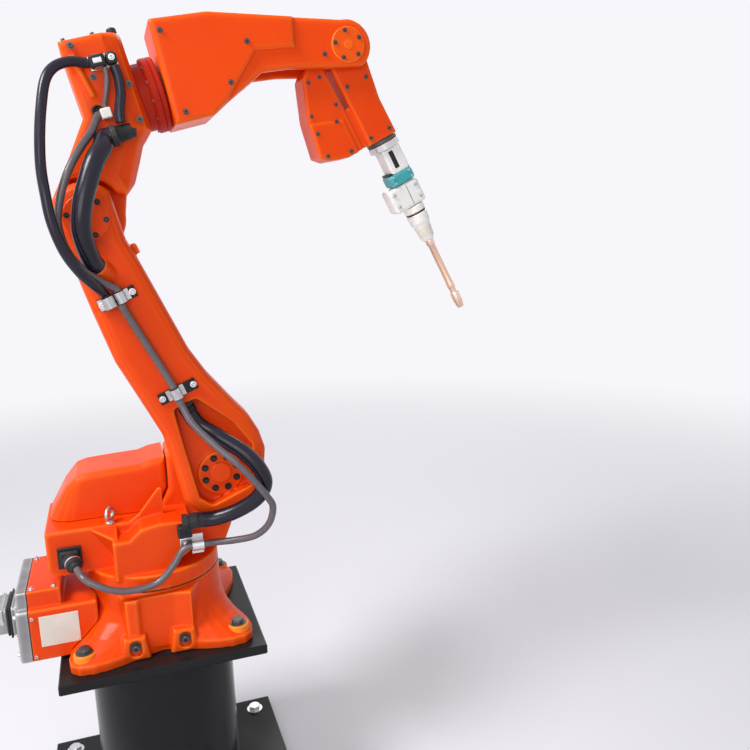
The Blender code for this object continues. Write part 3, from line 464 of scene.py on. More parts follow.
orange_enamel = finish(
    "orange_enamel",
    (0.84, 0.068, 0.002),
    (0.76, 0.052, 0.002),
    # edge colour: a painted highlight along the castings' edges
    (0.98, 0.26, 0.02),
    (0.32, 0.44),
    coat=0.05,
    stain_scale=5.0,
    grain_scale=220.0,
    grain_depth=0.00010,
    edge_reach=0.10,
    specular=0.13,
)
black_steel = finish(
    "black_oxide",
    (0.030, 0.030, 0.032),
    (0.020, 0.019, 0.019),
    (0.10, 0.10, 0.10),
    (0.35, 0.5),
    metallic=0.7,
    stain_scale=60.0,
)
steel_on_orange = black_steel, orange_enamel


def skinned(node, passes=6, voxel=SKIN_VOXEL):
    """The casting's shape over a CAD node: the same planes, every edge and corner filleted."""
    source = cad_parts[node]
    obj = bpy.data.objects.new(node + "_casting", source.data.copy())
    bpy.context.scene.collection.objects.link(obj)
    remesh = obj.modifiers.new("even", "REMESH")
    remesh.mode = "VOXEL"
    remesh.voxel_size = voxel
    wrap = obj.modifiers.new("planes", "SHRINKWRAP")
    wrap.wrap_method = "NEAREST_SURFACEPOINT"
    wrap.target = source
    smooth = obj.modifiers.new("fillets", "SMOOTH")
    smooth.factor = 0.5
    smooth.iterations = passes
    graph = bpy.context.evaluated_depsgraph_get()
    mesh = bpy.data.meshes.new_from_object(obj.evaluated_get(graph))
    obj.modifiers.clear()
    obj.data = mesh
    mesh.shade_smooth()
    mesh.materials.clear()
    return obj


def cast_skin(node, body, passes=6, voxel=SKIN_VOXEL):
    """A painted casting that stands for its CAD node."""
    obj = skinned(node, passes, voxel)
    obj.data.materials.append(orange_enamel)
    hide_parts(node)
    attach(obj, body)


def socket_screw(bm, at, radius, washer=True):
    """A cap screw with a chamfered head and a hexagon socket, on a washer or without."""
    high = 1.15 * radius
    low = 0.0
    if washer:
        low = 0.22 * radius
        turned(bm, at, [(1.55 * radius, 0), (1.55 * radius, low)], 18)
    rings = [ring(at, radius, low), ring(at, radius, low + 0.85 * high)]
    rings.append(ring(at, 0.88 * radius, low + high))
    rings.append(ring(at, 0.56 * radius, low + high, corners=6))
    rings.append(ring(at, 0.54 * radius, low + 0.35 * high, corners=6))
    loft(bm, rings)


def screws(bm, places, way, radius, washer=True):
    """Cap screws at several places, all driven in from the same side."""
    for place in places:
        socket_screw(bm, stand_on(place, way), radius, washer)


def side_screws(bm, spots, y, side, radius, washer=True):
    """Cap screws at (x, z) spots on a face that looks to the near (-1) or far (1) side."""
    screws(bm, [(x, y, z) for x, z in spots], (0, side, 0), radius, washer)


def dress_base():
    cast_skin("base_casting", "base")
    bm = bmesh.new()
    for x in (-FOOT_BOLT_OUT, FOOT_BOLT_OUT):
        for y in (-FOOT_BOLT_OUT, FOOT_BOLT_OUT):
            turned(bm, stand_on((x, y, BOSS_FOOT), (0, 0, 1), 5 * x), BOSS, 36, 1)
            at = stand_on((x, y, BOSS_TOP), (0, 0, 1), 7 * x + 3 * y)
            hex_screw(bm, at, FOOT_BOLT)
    for side in (-1, 1):
        spots = product(PAD_BOLTS, [PAD_BOLT_RISE])
        side_screws(bm, spots, side * PAD_FACE, side, PAD_BOLT)
    new_piece("base_bolts", bm, "base", "machined_steel", *steel_on_orange, at=AT_BASE)


dress_base()


# Connector box: a die-cast box bolted behind the base, its lid held by four screws. Its
# rear end is a bare cast plate, which carries the robot's main connectors; a black band,
# sunk a little into the seam, lies between the plate and the box.

BOX_REAR = -0.272
END_PLATE = 0.0225
SEAM_BAND = 0.0020
SEAM_BAND_LIP = 0.0002
SEAM_BAND_SUNK = 0.0015
BOX_NEAR = -0.100
LID_FACE = 0.1496
PLATE_LOW = (-0.230, 0.036)
PLATE_HIGH = (-0.157, 0.100)
PLATE_OUT = 0.0010
RIVET_IN = 0.004

grey_casting = finish(
    "grey_casting",
    (0.30, 0.30, 0.31),
    (0.22, 0.22, 0.23),
    (0.52, 0.52, 0.52),
    (0.42, 0.55),
    metallic=0.55,
    stain_scale=25.0,
    grain_scale=700.0,
    grain_depth=0.00006,
)
bare_plate = finish(
    "bare_plate",
    (0.66, 0.60, 0.50),
    (0.52, 0.47, 0.40),
    (0.80, 0.76, 0.68),
    (0.35, 0.5),
    stain_scale=38.0,
    grain_scale=300.0,
    grain_depth=0.00002,
)
black_moulding = finish(
    "black_moulding",
    (0.008, 0.008, 0.009),
    (0.012, 0.012, 0.013),
    (0.024, 0.024, 0.025),
    (0.38, 0.55),
    stain_scale=30.0,
    grain_scale=900.0,
    grain_depth=0.00003,
    specular=0.25,
)


def block(bm, low, high, radius, segments=3, material=0):
    """A box with its edges rounded."""
    before = set(bm.faces)
    corners = bmesh.ops.create_cube(bm, size=1.0)["verts"]
    low, high = Vector(low), Vector(high)
    size = Matrix.Diagonal((*(high - low), 1.0))
    bmesh.ops.transform(bm, matrix=Matrix.Translation((low + high) / 2) @ size, verts=corners)
    edges = list({edge for corner in corners for edge in corner.link_edges})
    bevel = {"offset": radius, "segments": segments, "profile": 0.5, "affect": "EDGES"}
    bmesh.ops.bevel(bm, geom=edges, **bevel)
    for face in set(bm.faces) - before:
        face.material_index = material


def dress_connector_box():
    obj = skinned("connector_box")
    bm = bmesh.new()
    bm.from_mesh(obj.data)
    # A black band, sunk a little, at the seam between the bare end plate and the box.
    seam = BOX_REAR + END_PLATE
    for x in (seam, seam + SEAM_BAND):
        parts = bm.verts[:] + bm.edges[:] + bm.faces[:]
        bmesh.ops.bisect_plane(bm, geom=parts, plane_co=(x, 0, 0), plane_no=(1, 0, 0))
    for face in bm.faces:
        middle = face.calc_center_median().x
        face.material_index = 1 if middle < seam else 2 if middle < seam + SEAM_BAND else 0
    for vert in bm.verts:
        if seam + SEAM_BAND_LIP < vert.co.x < seam + SEAM_BAND - SEAM_BAND_LIP:
            vert.co -= SEAM_BAND_SUNK * vert.normal
    bm.to_mesh(obj.data)
    bm.free()
    for material in (orange_enamel, grey_casting, black_moulding):
        obj.data.materials.append(material)
    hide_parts("connector_box")
    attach(obj, "base")
    bm = bmesh.new()
    screws(bm, product((-0.240, -0.198), (-0.076, 0.076), [LID_FACE]), (0, 0, 1), 0.0038)
    near = (-0.242, 0.018), (-0.132, 0.018), (-0.242, 0.099)
    side_screws(bm, near, BOX_NEAR, -1, 0.0034, washer=False)
    screws(bm, product([BOX_REAR], (-0.084, 0.084), (0.020, 0.100)), (-1, 0, 0), 0.0040)
    new_piece("box_screws", bm, "base", "machined_steel", zinc, at=AT_BASE)
    bm = bmesh.new()
    low = (PLATE_LOW[0], BOX_NEAR - PLATE_OUT, PLATE_LOW[1])
    high = (PLATE_HIGH[0], BOX_NEAR + 0.0006, PLATE_HIGH[1])
    block(bm, low, high, 0.0004, 1)
    for x in (PLATE_LOW[0] + RIVET_IN, PLATE_HIGH[0] - RIVET_IN):
        for z in (PLATE_LOW[1] + RIVET_IN, PLATE_HIGH[1] - RIVET_IN):
            at = stand_on((x, BOX_NEAR - PLATE_OUT, z), (0, -1, 0))
            turned(bm, at, [(0.0017, 0), (0.0016, 0.0006), (0.0009, 0.0011)], 12, 1)
    new_piece("name_plate", bm, "base", "grey_metal", bare_plate, zinc, at=AT_BASE)


def dress_base_connector():
    """A rectangular hood connector: flange, black gasket, hood, two levers and blind ports."""
    rear = BOX_REAR - SEAT
    bm = bmesh.new()
    block(bm, (rear - 0.007, -0.050, 0.037), (rear, 0.050, 0.107), 0.0025)
    block(bm, (rear - 0.0175, -0.044, 0.041), (rear - 0.006, 0.044, 0.103), 0.005)
    corners = product([rear - 0.007], (-0.0465, 0.0465), (0.043, 0.101))
    screws(bm, corners, (-1, 0, 0), 0.0022, washer=False)
    ring_low = (rear - 0.0178, -0.0465, 0.0385)
    block(bm, ring_low, (rear - 0.0140, 0.0465, 0.1055), 0.0018, material=1)
    finishes = grey_casting, black_moulding
    socket = new_piece("base_flange", bm, "base", "grey_metal", *finishes, at=AT_BASE)
    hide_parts("base_socket")
    back = rear - 0.018
    bm = bmesh.new()
    block(bm, (back - 0.030, -0.040, 0.044), (back, 0.040, 0.100), 0.009, 4)
    block(bm, (back - 0.056, -0.034, 0.048), (back - 0.024, 0.034, 0.096), 0.013, 4)
    block(bm, (back - 0.006, -0.0425, 0.0425), (back - 0.0004, 0.0425, 0.1015), 0.002, material=1)
    for y in (-0.018, 0.018):
        at = stand_on((back - 0.050, y, 0.072), (-1, 0, 0))
        turned(bm, at, [(0.012, 0), (0.012, 0.003), (0.0105, 0.0065)], 24, 1)
    for side in (-1, 1):
        y = side * 0.0405
        pivot = stand_on((back - 0.015, y, 0.072), (0, side, 0))
        turned(bm, pivot, [(0.005, 0), (0.0045, 0.0016)], 18, 2)
        low = (back - 0.018, min(y, y + side * 0.0014), 0.071)
        high = (back - 0.012, max(y, y + side * 0.0014), 0.0985)
        block(bm, low, high, 0.0006, 1, 2)
    block(bm, (back - 0.0180, -0.0418, 0.0975), (back - 0.012, 0.0418, 0.1005), 0.0012, 2, 2)
    plug = new_piece("base_hood", bm, "base", "grey_metal", *finishes, zinc, at=AT_BASE)
    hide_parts("base_plug")


dress_connector_box()
dress_base_connector()


# Turret: one casting with the neck, the near bracket and the wall of the second axis. It
# turns on a sealed bearing. A domed cover over the first motor is bolted on behind.

HUB_RISE = 0.345
HUB_FORWARD = 0.145
WALL_FAR = 0.095
REAR_FAR = 0.130
BRACKET_NEAR = -0.118
REAR_TOP = 0.255
EYE_PLACE = Vector((-0.080, -0.051, 0.2745))
EYE_RADIUS = 0.0125
EYE_TURN = radians(60)
MOTOR_FLANGE = 0.0125
COVER_OUT = 0.0018
COVER_SUNK = 0.001

brass = finish(
    "brass",
    (0.72, 0.50, 0.16),
    (0.55, 0.36, 0.10),
    (0.86, 0.68, 0.30),
    (0.24, 0.4),
    metallic=1.0,
    stain_scale=60.0,
)


def dress_turret():
    cast_skin("turret_casting", "turret")
    cast_skin("axis1_motor_cover", "turret")
    bm = bmesh.new()
    profile = [(0.130, 0.1268), (0.1343, 0.1272), (0.1350, 0.1284), (0.1343, 0.1296)]
    rings = [ring(Matrix(), r, h, 72) for r, h in profile + [(0.130, 0.1300)]]
    loft(bm, rings + [rings[0]], closed_ends=False)
    bmesh.ops.remove_doubles(bm, verts=bm.verts, dist=WELDED)
    new_piece("bearing_seal", bm, "turret", "black_rubber", black_moulding, at=AT_BASE)
    bm = bmesh.new()
    reducer = [(0.060, SEAT), (0.0795, SEAT), (0.0795, 0.0022), (0.076, 0.003)]
    reducer += [(0.076, 0.0050), (0.0795, 0.0058), (0.0795, 0.0077), (0.060, 0.0077)]
    turned(bm, stand_on((HUB_FORWARD, -0.018, HUB_RISE), (0, -1, 0)), reducer, 72)
    made = new_piece("axis2_bearing", bm, "turret", "machined_steel", zinc, at=AT_BASE)
    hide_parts("axis2_reducer")


def dress_lifting_eye():
    """A forged eyebolt: a collar on a hexagon, and a ring that is thinner at its top."""
    bm = bmesh.new()
    turned(bm, stand_on((0, 0, 0), (0, 0, 1)), [(0.0064, 0), (0.0064, 0.0022)], 6)
    collar = [(0.0098, SEAT), (0.0098, 0.0024), (0.0070, 0.0046), (0.0045, 0.009)]
    turned(bm, Matrix(), collar, 32)
    side = Vector((-sin(EYE_TURN), cos(EYE_TURN), 0))
    spokes = [2 * pi * i / 16 for i in range(16)]
    rings = []
    for k in range(48):
        a = 2 * pi * k / 48
        out = Vector((cos(a) * cos(EYE_TURN), cos(a) * sin(EYE_TURN), sin(a)))
        middle = Vector((0, 0, EYE_PLACE.z - REAR_TOP)) + EYE_RADIUS * out
        thick = 0.0040 - 0.0006 * sin(a)
        rings.append([middle + thick * (cos(b) * out + sin(b) * side) for b in spokes])
    loft(bm, rings + [rings[0]], closed_ends=False)
    bmesh.ops.remove_doubles(bm, verts=bm.verts, dist=WELDED)
    foot = AT_BASE @ Matrix.Translation((EYE_PLACE.x, EYE_PLACE.y, REAR_TOP))
    made = new_piece("eyebolt", bm, "turret", "machined_steel", zinc, at=foot)
    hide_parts("lifting_eye")


def dress_nipples():
    """Two brass fittings on the wall of the second axis."""
    bm = bmesh.new()
    for place in ((0.1860, 0.000, 0.250), (0.1925, 0.000, 0.265)):
        at = stand_on(place, (1, 0, -0.2))
        rings = [ring(at, 0.0062, -0.003, corners=6), ring(at, 0.0062, 0.0055, corners=6)]
        loft(bm, rings + [ring(at, 0.0052, 0.0063), ring(at, 0.0040, 0.0064)])
        turned(bm, at, [(0.0040, 0.0060), (0.0040, 0.0125), (0.0034, 0.0135)], 20)
    new_piece("brass_nipples", bm, "turret", "copper", brass, at=AT_BASE)


def motor_screws(bm, x, y, z, half, radius):
    """The four cap screws at the corners of a motor's flange."""
    corners = product((x - half, x + half), (z - half, z + half))
    side_screws(bm, corners, y + MOTOR_FLANGE, 1, radius)


def dress_turret_far_side():
    """The motor of the second axis, and a cover plate on the far side of the rear block."""
    dress("axis2_motor", black_steel)
    bm = bmesh.new()
    motor_screws(bm, HUB_FORWARD, WALL_FAR, HUB_RISE, 0.048, 0.0050)
    outer = REAR_FAR + COVER_OUT
    side_screws(bm, product((-0.176, -0.098, -0.020), (0.176, 0.240)), outer, 1, 0.0038)
    new_piece("turret_screws", bm, "turret", "machined_steel", zinc, at=AT_BASE)
    bm = bmesh.new()
    block(bm, (-0.186, REAR_FAR - COVER_SUNK, 0.167), (-0.010, outer, 0.248), 0.0015, 2)
    new_piece("turret_cover", bm, "turret", "orange_paint", orange_enamel, at=AT_BASE)


dress_turret()
dress_lifting_eye()
dress_nipples()
dress_turret_far_side()


# Turret connector: a square black flange on the rear block with an angled collar and a
# zinc coupling ring. The thin cable leaves its sleeve and runs round the bracket.

COLLAR_START = Vector((-0.163, -0.070, 0.200))
COLLAR_END = Vector((-0.150, -0.104, 0.190))


def dress_turret_socket():
    bm = bmesh.new()
    block(bm, (-0.186, -0.0682, 0.178), (-0.140, -0.0623, 0.222), 0.0022)
    block(bm, (-0.181, -0.0778, 0.183), (-0.145, -0.066, 0.217), 0.0045)
    along = COLLAR_END - COLLAR_START
    at = stand_on(COLLAR_START, along)
    far = along.length
    profile = [(0.0150, 0.0), (0.0158, 0.010), (0.0158, 0.0155), (0.0140, 0.0165)]
    profile += [(0.0140, 0.0185), (0.0160, 0.0195), (0.0160, 0.0290), (0.0135, 0.0305)]
    turned(bm, at, profile + [(0.0110, far - 0.0012), (0.0098, far)], 36)
    coupling = [(0.0156, 0.0153), (0.0162, 0.0160), (0.0162, 0.0186), (0.0150, 0.0194)]
    turned(bm, at, coupling, 36, 1)
    corners = product((-0.1815, -0.1445), (0.1825, 0.2175))
    side_screws(bm, corners, -0.0682, -1, 0.0021, washer=False)
    finishes = black_moulding, zinc
    made = new_piece("turret_connector", bm, "turret", "black_rubber", *finishes, at=AT_BASE)
    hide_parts("turret_socket")


dress_turret_socket()


# Hose gland and front clamp: on the bracket's front corner a moulded foot carries the
# threaded gland of the thick hose, and a zinc strap holds the thin cable below it.


def hex_gland(bm, at, length, radius):
    """A threaded gland: a hexagon at its foot, a round neck and a domed nut."""
    loft(bm, [ring(at, 0.98 * radius, rise * length, corners=6) for rise in (0, 0.34)])
    nut = [(0.80, 0.30), (0.80, 0.42), (1.0, 0.46), (1.0, 0.84), (0.97, 0.95), (0.90, 1.0)]
    turned(bm, at, [(out * radius, rise * length) for out, rise in nut], 36)


def strap(bm, centre, along, out, half, room, thick, leg=0.009, foot=0.010):
    """A bent steel strap over a hose, with a foot on each side of it."""
    along, out, centre = Vector(along), Vector(out), Vector(centre)
    side = out.cross(along)
    reach = room + thick / 2
    path = [(-reach - foot, -leg), (-reach - 0.001, -leg), (-reach, -leg + 0.001)]
    path += [(-reach * cos(pi * k / 12), reach * sin(pi * k / 12)) for k in range(13)]
    path += [(reach, -leg + 0.001), (reach + 0.001, -leg), (reach + foot, -leg)]
    path = [Vector(point) for point in path]
    rings = []
    for k, here in enumerate(path):
        run = path[min(k + 1, len(path) - 1)] - path[max(k - 1, 0)]
        over = Vector((-run.y, run.x)).normalized() * thick / 2
        corners = [(here - over, -half), (here - over, half), (here + over, half)]
        corners.append((here + over, -half))
        rings.append([centre + p.x * side + p.y * out + w * along for p, w in corners])
    loft(bm, rings)


def dress_front_fittings():
    bm = bmesh.new()
    block(bm, (0.046, -0.1418, 0.232), (0.074, BRACKET_NEAR - SEAT, 0.257), 0.003)
    hex_gland(bm, stand_on((0.056, -0.138, 0.2665), (1, 0, 0)), 0.0320, 0.0164)
    side_screws(bm, [(0.060, 0.240)], -0.1418, -1, 0.0030, washer=False)
    made = new_piece("gland_foot", bm, "turret", "black_rubber", black_moulding, at=AT_BASE)
    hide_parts("hose_gland")
    bm = bmesh.new()
    block(bm, (0.050, -0.1218, 0.199), (0.092, BRACKET_NEAR - SEAT, 0.225), 0.0012, 2)
    strap(bm, (0.084, -0.133, 0.212), (1, 0, 0), (0, -1, 0), 0.0115, 0.0098, 0.0016)
    side_screws(bm, [(0.061, 0.212)], -0.1218, -1, 0.0042)
    made = new_piece("cable_strap", bm, "turret", "machined_steel", zinc, at=AT_BASE)
    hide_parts("front_clamp")


dress_front_fittings()


# Lower arm: a hollow aluminium casting. It hangs on the second reducer by a ring of cap
# screws round a hub cap, and carries the third reducer at its top. Two steel saddles hold
# the cable on its near face, and a hexagon gland takes the thick hose into the pocket.

ARM_LENGTH = 0.562
ARM_NEAR = -0.118
ARM_FAR = -0.026
POCKET_FLOOR = -0.088
HUB_FACE = POCKET_FLOOR - 0.0062
PIN_CAP = 0.0034
ARM_COVER_OUT = 0.0016


def tilted(place, pitch):
    """A body's own frame: its X axis lifted by a pitch in degrees."""
    return Matrix.Translation(place) @ Matrix.Rotation(-radians(pitch), 4, "Y")


AT_ARM = tilted((HUB_FORWARD, 0, PEDESTAL_TOP + HUB_RISE), 111.8)


def circle_of_screws(bm, centre, way, out, count, radius, start=0.0, washer=True):
    """Cap screws evenly round a centre, each turned to face it."""
    at = stand_on(centre, way)
    for k in range(count):
        a = start + 2 * pi * k / count
        place = at @ Vector((out * cos(a), out * sin(a), 0))
        socket_screw(bm, stand_on(place, way, a), radius, washer)


def dress_lower_arm():
    cast_skin("lower_arm", "lower_arm")
    bm = bmesh.new()
    hub_cap = [(0.0215, 0), (0.0215, 0.0030), (0.0195, 0.0042)]
    turned(bm, stand_on((0, HUB_FACE, 0), (0, -1, 0)), hub_cap, 48, 1)
    circle_of_screws(bm, (0, HUB_FACE, 0), (0, -1, 0), 0.034, 8, 0.0046)
    at = stand_on((ARM_LENGTH, ARM_NEAR, 0), (0, -1, 0))
    turned(bm, at, [(0.0420, -0.001), (0.0420, 0.0022), (0.0405, PIN_CAP)], 64, 1)
    circle_of_screws(bm, (ARM_LENGTH, ARM_NEAR - PIN_CAP, 0), (0, -1, 0), 0.034, 6, 0.0034)
    outer = ARM_FAR + ARM_COVER_OUT
    block(bm, (0.14, ARM_FAR - COVER_SUNK, -0.034), (0.44, outer, 0.030), 0.0014, 2, 1)
    side_screws(bm, product((0.150, 0.290, 0.430), (-0.026, 0.022)), outer, 1, 0.0034)
    new_piece("arm_covers", bm, "lower_arm", "orange_paint", *steel_on_orange, at=AT_ARM)


bright_steel = finish(
    "bright_steel",
    (0.58, 0.58, 0.60),
    (0.42, 0.41, 0.41),
    (0.78, 0.78, 0.79),
    (0.20, 0.34),
    metallic=1.0,
    stain_scale=55.0,
    grain_scale=500.0,
    grain_depth=0.000003,
)


def dress_arm_clamp(node, along, cables, low_side, high_side):
    """Steel strip and saddles, with rubber showing at the saddles' ends."""
    bm = bmesh.new()
    low = (along - 0.0115, ARM_NEAR - 0.0045, low_side - 0.0075)
    block(bm, low, (along + 0.0115, ARM_NEAR - SEAT, high_side + 0.0075), 0.0014, 2, 1)
    for z, y, room in cables:
        leg = ARM_NEAR - 0.0050 - y
        strap(bm, (along, y, z), (1, 0, 0), (0, -1, 0), 0.0105, room, 0.0018, leg, 0.009)
        rubber = (along - 0.0118, y, z - room), (along + 0.0118, ARM_NEAR - 0.004, z + room)
        block(bm, *rubber, 0.0012, 2, 1)
    ends = (along, low_side - 0.001), (along, high_side + 0.001)
    side_screws(bm, ends, ARM_NEAR - 0.0058, -1, 0.0040)
    name = node + "_saddle"
    finishes = bright_steel, black_moulding
    made = new_piece(name, bm, "lower_arm", "machined_steel", *finishes, at=AT_ARM)
    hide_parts(node)


def dress_pocket_gland():
    bm = bmesh.new()
    hex_gland(bm, stand_on((0.1697, -0.107, 0), (-1, 0, 0)), 0.0215, 0.0164)
    made = new_piece("pocket_gland", bm, "lower_arm", "black_rubber", black_moulding, at=AT_ARM)
    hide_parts("arm_gland")


dress_lower_arm()
dress_arm_clamp("lower_clamp", 0.199, [(0.0045, -0.135, 0.0082)], -0.031, 0.032)
upper_cables = [(0.0130, -0.1355, 0.0082), (0.0350, -0.138, 0.0100)]
dress_arm_clamp("upper_clamp", 0.409, upper_cables, -0.010, 0.048)
dress_pocket_gland()


# Elbow: a casting over the third axis that carries the forearm's reducer on its front.
# Its near face has a rib, the hoses' bracket and clamp, plugs, and cap screws.

AT_ELBOW = tilted(AT_ARM @ Vector((ARM_LENGTH, 0, 0)), 14.0)
ELBOW_NEAR = -0.098
ELBOW_FAR = 0.098
ELBOW_FRONT = 0.165
ELBOW_RISE = 0.188
ELBOW_CEILING = 0.300
FLANGE_SCREWS = 12
FLANGE_CIRCLE = 0.0655

cream_plastic = finish(
    "cream_plastic",
    (0.80, 0.76, 0.66),
    (0.70, 0.65, 0.55),
    (0.90, 0.88, 0.82),
    (0.28, 0.42),
    stain_scale=28.0,
    grain_scale=600.0,
    grain_depth=0.00003,
)


def dress_elbow():
    cast_skin("elbow_housing", "elbow")
    bm = bmesh.new()
    profile = [(0.040, SEAT), (0.0515, SEAT), (0.0515, 0.0024), (0.0485, 0.003)]
    profile += [(0.0485, 0.0050), (0.0515, 0.0056), (0.0515, 0.0077), (0.040, 0.0077)]
    turned(bm, stand_on((0, ARM_FAR, 0), (0, 1, 0)), profile, 64)
    made = new_piece("axis3_bearing", bm, "elbow", "machined_steel", zinc, at=AT_ELBOW)
    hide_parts("axis3_reducer")
    dress("axis3_motor", black_steel)
    far = ELBOW_FAR + COVER_OUT
    above = ELBOW_CEILING + COVER_OUT
    bm = bmesh.new()
    motor_screws(bm, 0, ELBOW_FAR, 0, 0.039, 0.0042)
    spots = (0.0741, 0.2880), (0.0935, 0.2297), (0.148, 0.142), (0.150, 0.205)
    side_screws(bm, spots, ELBOW_NEAR, -1, 0.0040)
    spots = (0.070, 0.285), (0.070, 0.190), (0.150, 0.285), (0.150, 0.140)
    side_screws(bm, spots, far, 1, 0.0038)
    screws(bm, product((0.066, 0.118), (-0.070, 0.070), [above]), (0, 0, 1), 0.0038)
    new_piece("elbow_screws", bm, "elbow", "machined_steel", black_steel, at=AT_ELBOW)
    bm = bmesh.new()
    block(bm, (0.060, ELBOW_FAR - COVER_SUNK, 0.130), (0.160, far, 0.294), 0.0015, 2)
    block(bm, (0.058, -0.078, ELBOW_CEILING - COVER_SUNK), (0.126, 0.078, above), 0.0015, 2)
    new_piece("elbow_covers", bm, "elbow", "orange_paint", orange_enamel, at=AT_ELBOW)
    bm = bmesh.new()
    at = stand_on((0.082, ELBOW_NEAR, 0.173), (0, -1, 0))
    lip = [(0.0100, -0.0076), (0.0100, 0.0012), (0.0082, 0.0016), (0.0078, -0.0070)]
    turned(bm, at, lip, 28)
    new_piece("elbow_port", bm, "elbow", "black_rubber", black_moulding, at=AT_ELBOW)


# A red darker than the enamel: painted shade on the disc of the fourth reducer.
flange_shaded_red = finish(
    "flange_shaded_red",
    (0.30, 0.006, 0.002),
    (0.25, 0.005, 0.002),
    (0.42, 0.020, 0.006),
    (0.34, 0.46),
    grain_depth=0.00006,
    specular=0.12,
)


def dress_forearm_flange():
    """The fourth reducer's disc: a machined ring with a row of cap screws, its red darkened with
    painted shade.
    """
    bm = bmesh.new()
    profile = [(0.050, SEAT), (0.0625, SEAT), (0.0630, 0.0010), (0.0630, 0.0180)]
    profile += [(0.0690, 0.0215), (0.0700, 0.0230), (0.0700, 0.0330), (0.0690, 0.0340)]
    profile += [(0.0690, 0.0352), (0.0700, 0.0362), (0.0700, 0.0427), (0.0672, 0.0457)]
    at = stand_on((ELBOW_FRONT, 0, ELBOW_RISE), (1, 0, 0))
    turned(bm, at, profile + [(0.050, 0.0457)], 96)
    disc = new_piece("forearm_flange", bm, "elbow", "orange_paint", flange_shaded_red, at=AT_ELBOW)
    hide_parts("axis4_reducer")
    bm = bmesh.new()
    for k in range(FLANGE_SCREWS):
        a = 2 * pi * (k + 0.5) / FLANGE_SCREWS
        y, z = FLANGE_CIRCLE * cos(a), ELBOW_RISE + FLANGE_CIRCLE * sin(a)
        at = stand_on((ELBOW_FRONT + 0.0219, y, z), (-1, 0, 0))
        socket_screw(bm, at, 0.0030, washer=False)
    new_piece("flange_screws", bm, "elbow", "machined_steel", black_steel, at=AT_ELBOW)


def dress_elbow_fittings():
    """Knob on the top edge, hose bracket, plug and clamp, as small moulded and bent parts."""
    bm = bmesh.new()
    at = stand_on((0.153, -0.054, ELBOW_CEILING - 0.0057), (0, 0, 1))
    profile = [(0.0070, 0), (0.0070, 0.005), (0.0090, 0.0062), (0.0092, 0.0120)]
    turned(bm, at, profile + [(0.0080, 0.0150), (0.0045, 0.0168)], 28)
    made = new_piece("top_knob", bm, "elbow", "black_rubber", black_moulding, at=AT_ELBOW)
    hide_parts("elbow_eye")
    bm = bmesh.new()
    block(bm, (0.092, -0.1035, 0.115), (0.128, ELBOW_NEAR - SEAT, 0.141), 0.002, 2)
    nut = [(0.0182, 0), (0.0190, 0.004), (0.0190, 0.010), (0.0150, 0.0125)]
    nut += [(0.0130, 0.022), (0.0125, 0.034), (0.0105, 0.0385)]
    turned(bm, stand_on((0.0883, -0.124, 0.1225), (1, 0, 0)), nut, 36)
    block(bm, (0.099, -0.1350, 0.1145), (0.119, -0.100, 0.1330), 0.007, 4)
    stub = [(0.0072, -0.002), (0.0072, 0.008), (0.0085, 0.009), (0.0085, 0.014), (0.0070, 0.016)]
    turned(bm, stand_on((0.1175, -0.1220, 0.1230), (1, 0, -0.25)), stub, 24)
    feet = (0.1245, 0.1195), (0.1245, 0.1365)
    side_screws(bm, feet, -0.1035, -1, 0.0024, washer=False)
    made = new_piece("hose_bracket", bm, "elbow", "black_rubber", black_moulding, at=AT_ELBOW)
    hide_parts("elbow_hose_bracket")
    bm = bmesh.new()
    block(bm, (0.0845, -0.1215, 0.155), (0.1035, ELBOW_NEAR - SEAT, 0.173), 0.0028, 3)
    turned(bm, stand_on((0.0845, -0.110, 0.164), (-1, 0, 0)), [(0.0085, -0.002), (0.0085, 0.0002)], 24)
    turned(bm, stand_on((0.096, -0.110, 0.1725), (0, 0, 1)), [(0.0060, 0), (0.0060, 0.0012)], 24, 1)
    made = new_piece("cable_plug", bm, "elbow", "white_plastic", cream_plastic, zinc, at=AT_ELBOW)
    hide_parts("elbow_connector")
    bm = bmesh.new()
    block(bm, (0.0945, -0.1010, 0.2385), (0.1435, ELBOW_NEAR - SEAT, 0.2635), 0.0012, 2)
    block(bm, (0.0945, -0.1240, 0.2405), (0.1225, -0.1000, 0.2615), 0.0040, 3, 1)
    block(bm, (0.1235, -0.1240, 0.2405), (0.1430, -0.1000, 0.2615), 0.0060, 3, 1)
    centre = (0.1085, -0.1125, 0.2510)
    strap(bm, centre, (1, 0, 0), (0, -1, 0), 0.0075, 0.0110, 0.0014, 0.0105, 0.0)
    side_screws(bm, [(0.1335, 0.2510)], -0.1240, -1, 0.0036)
    finishes = zinc, black_moulding
    made = new_piece("clamp_block", bm, "elbow", "machined_steel", *finishes, at=AT_ELBOW)
    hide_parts("elbow_clamp")


dress_elbow()
dress_forearm_flange()
dress_elbow_fittings()


# Forearm: a deep aluminium casting that narrows to a fork, sprayed as the others are. A
# cover plate is screwed to its far side, and screwed caps close the bores of the fork.

AT_FOREARM = tilted(AT_ELBOW @ Vector((0, 0, ELBOW_RISE)), 14.0)
FOREARM_LENGTH = 0.588
FOREARM_HALF = 0.076
CHEEK = 0.067


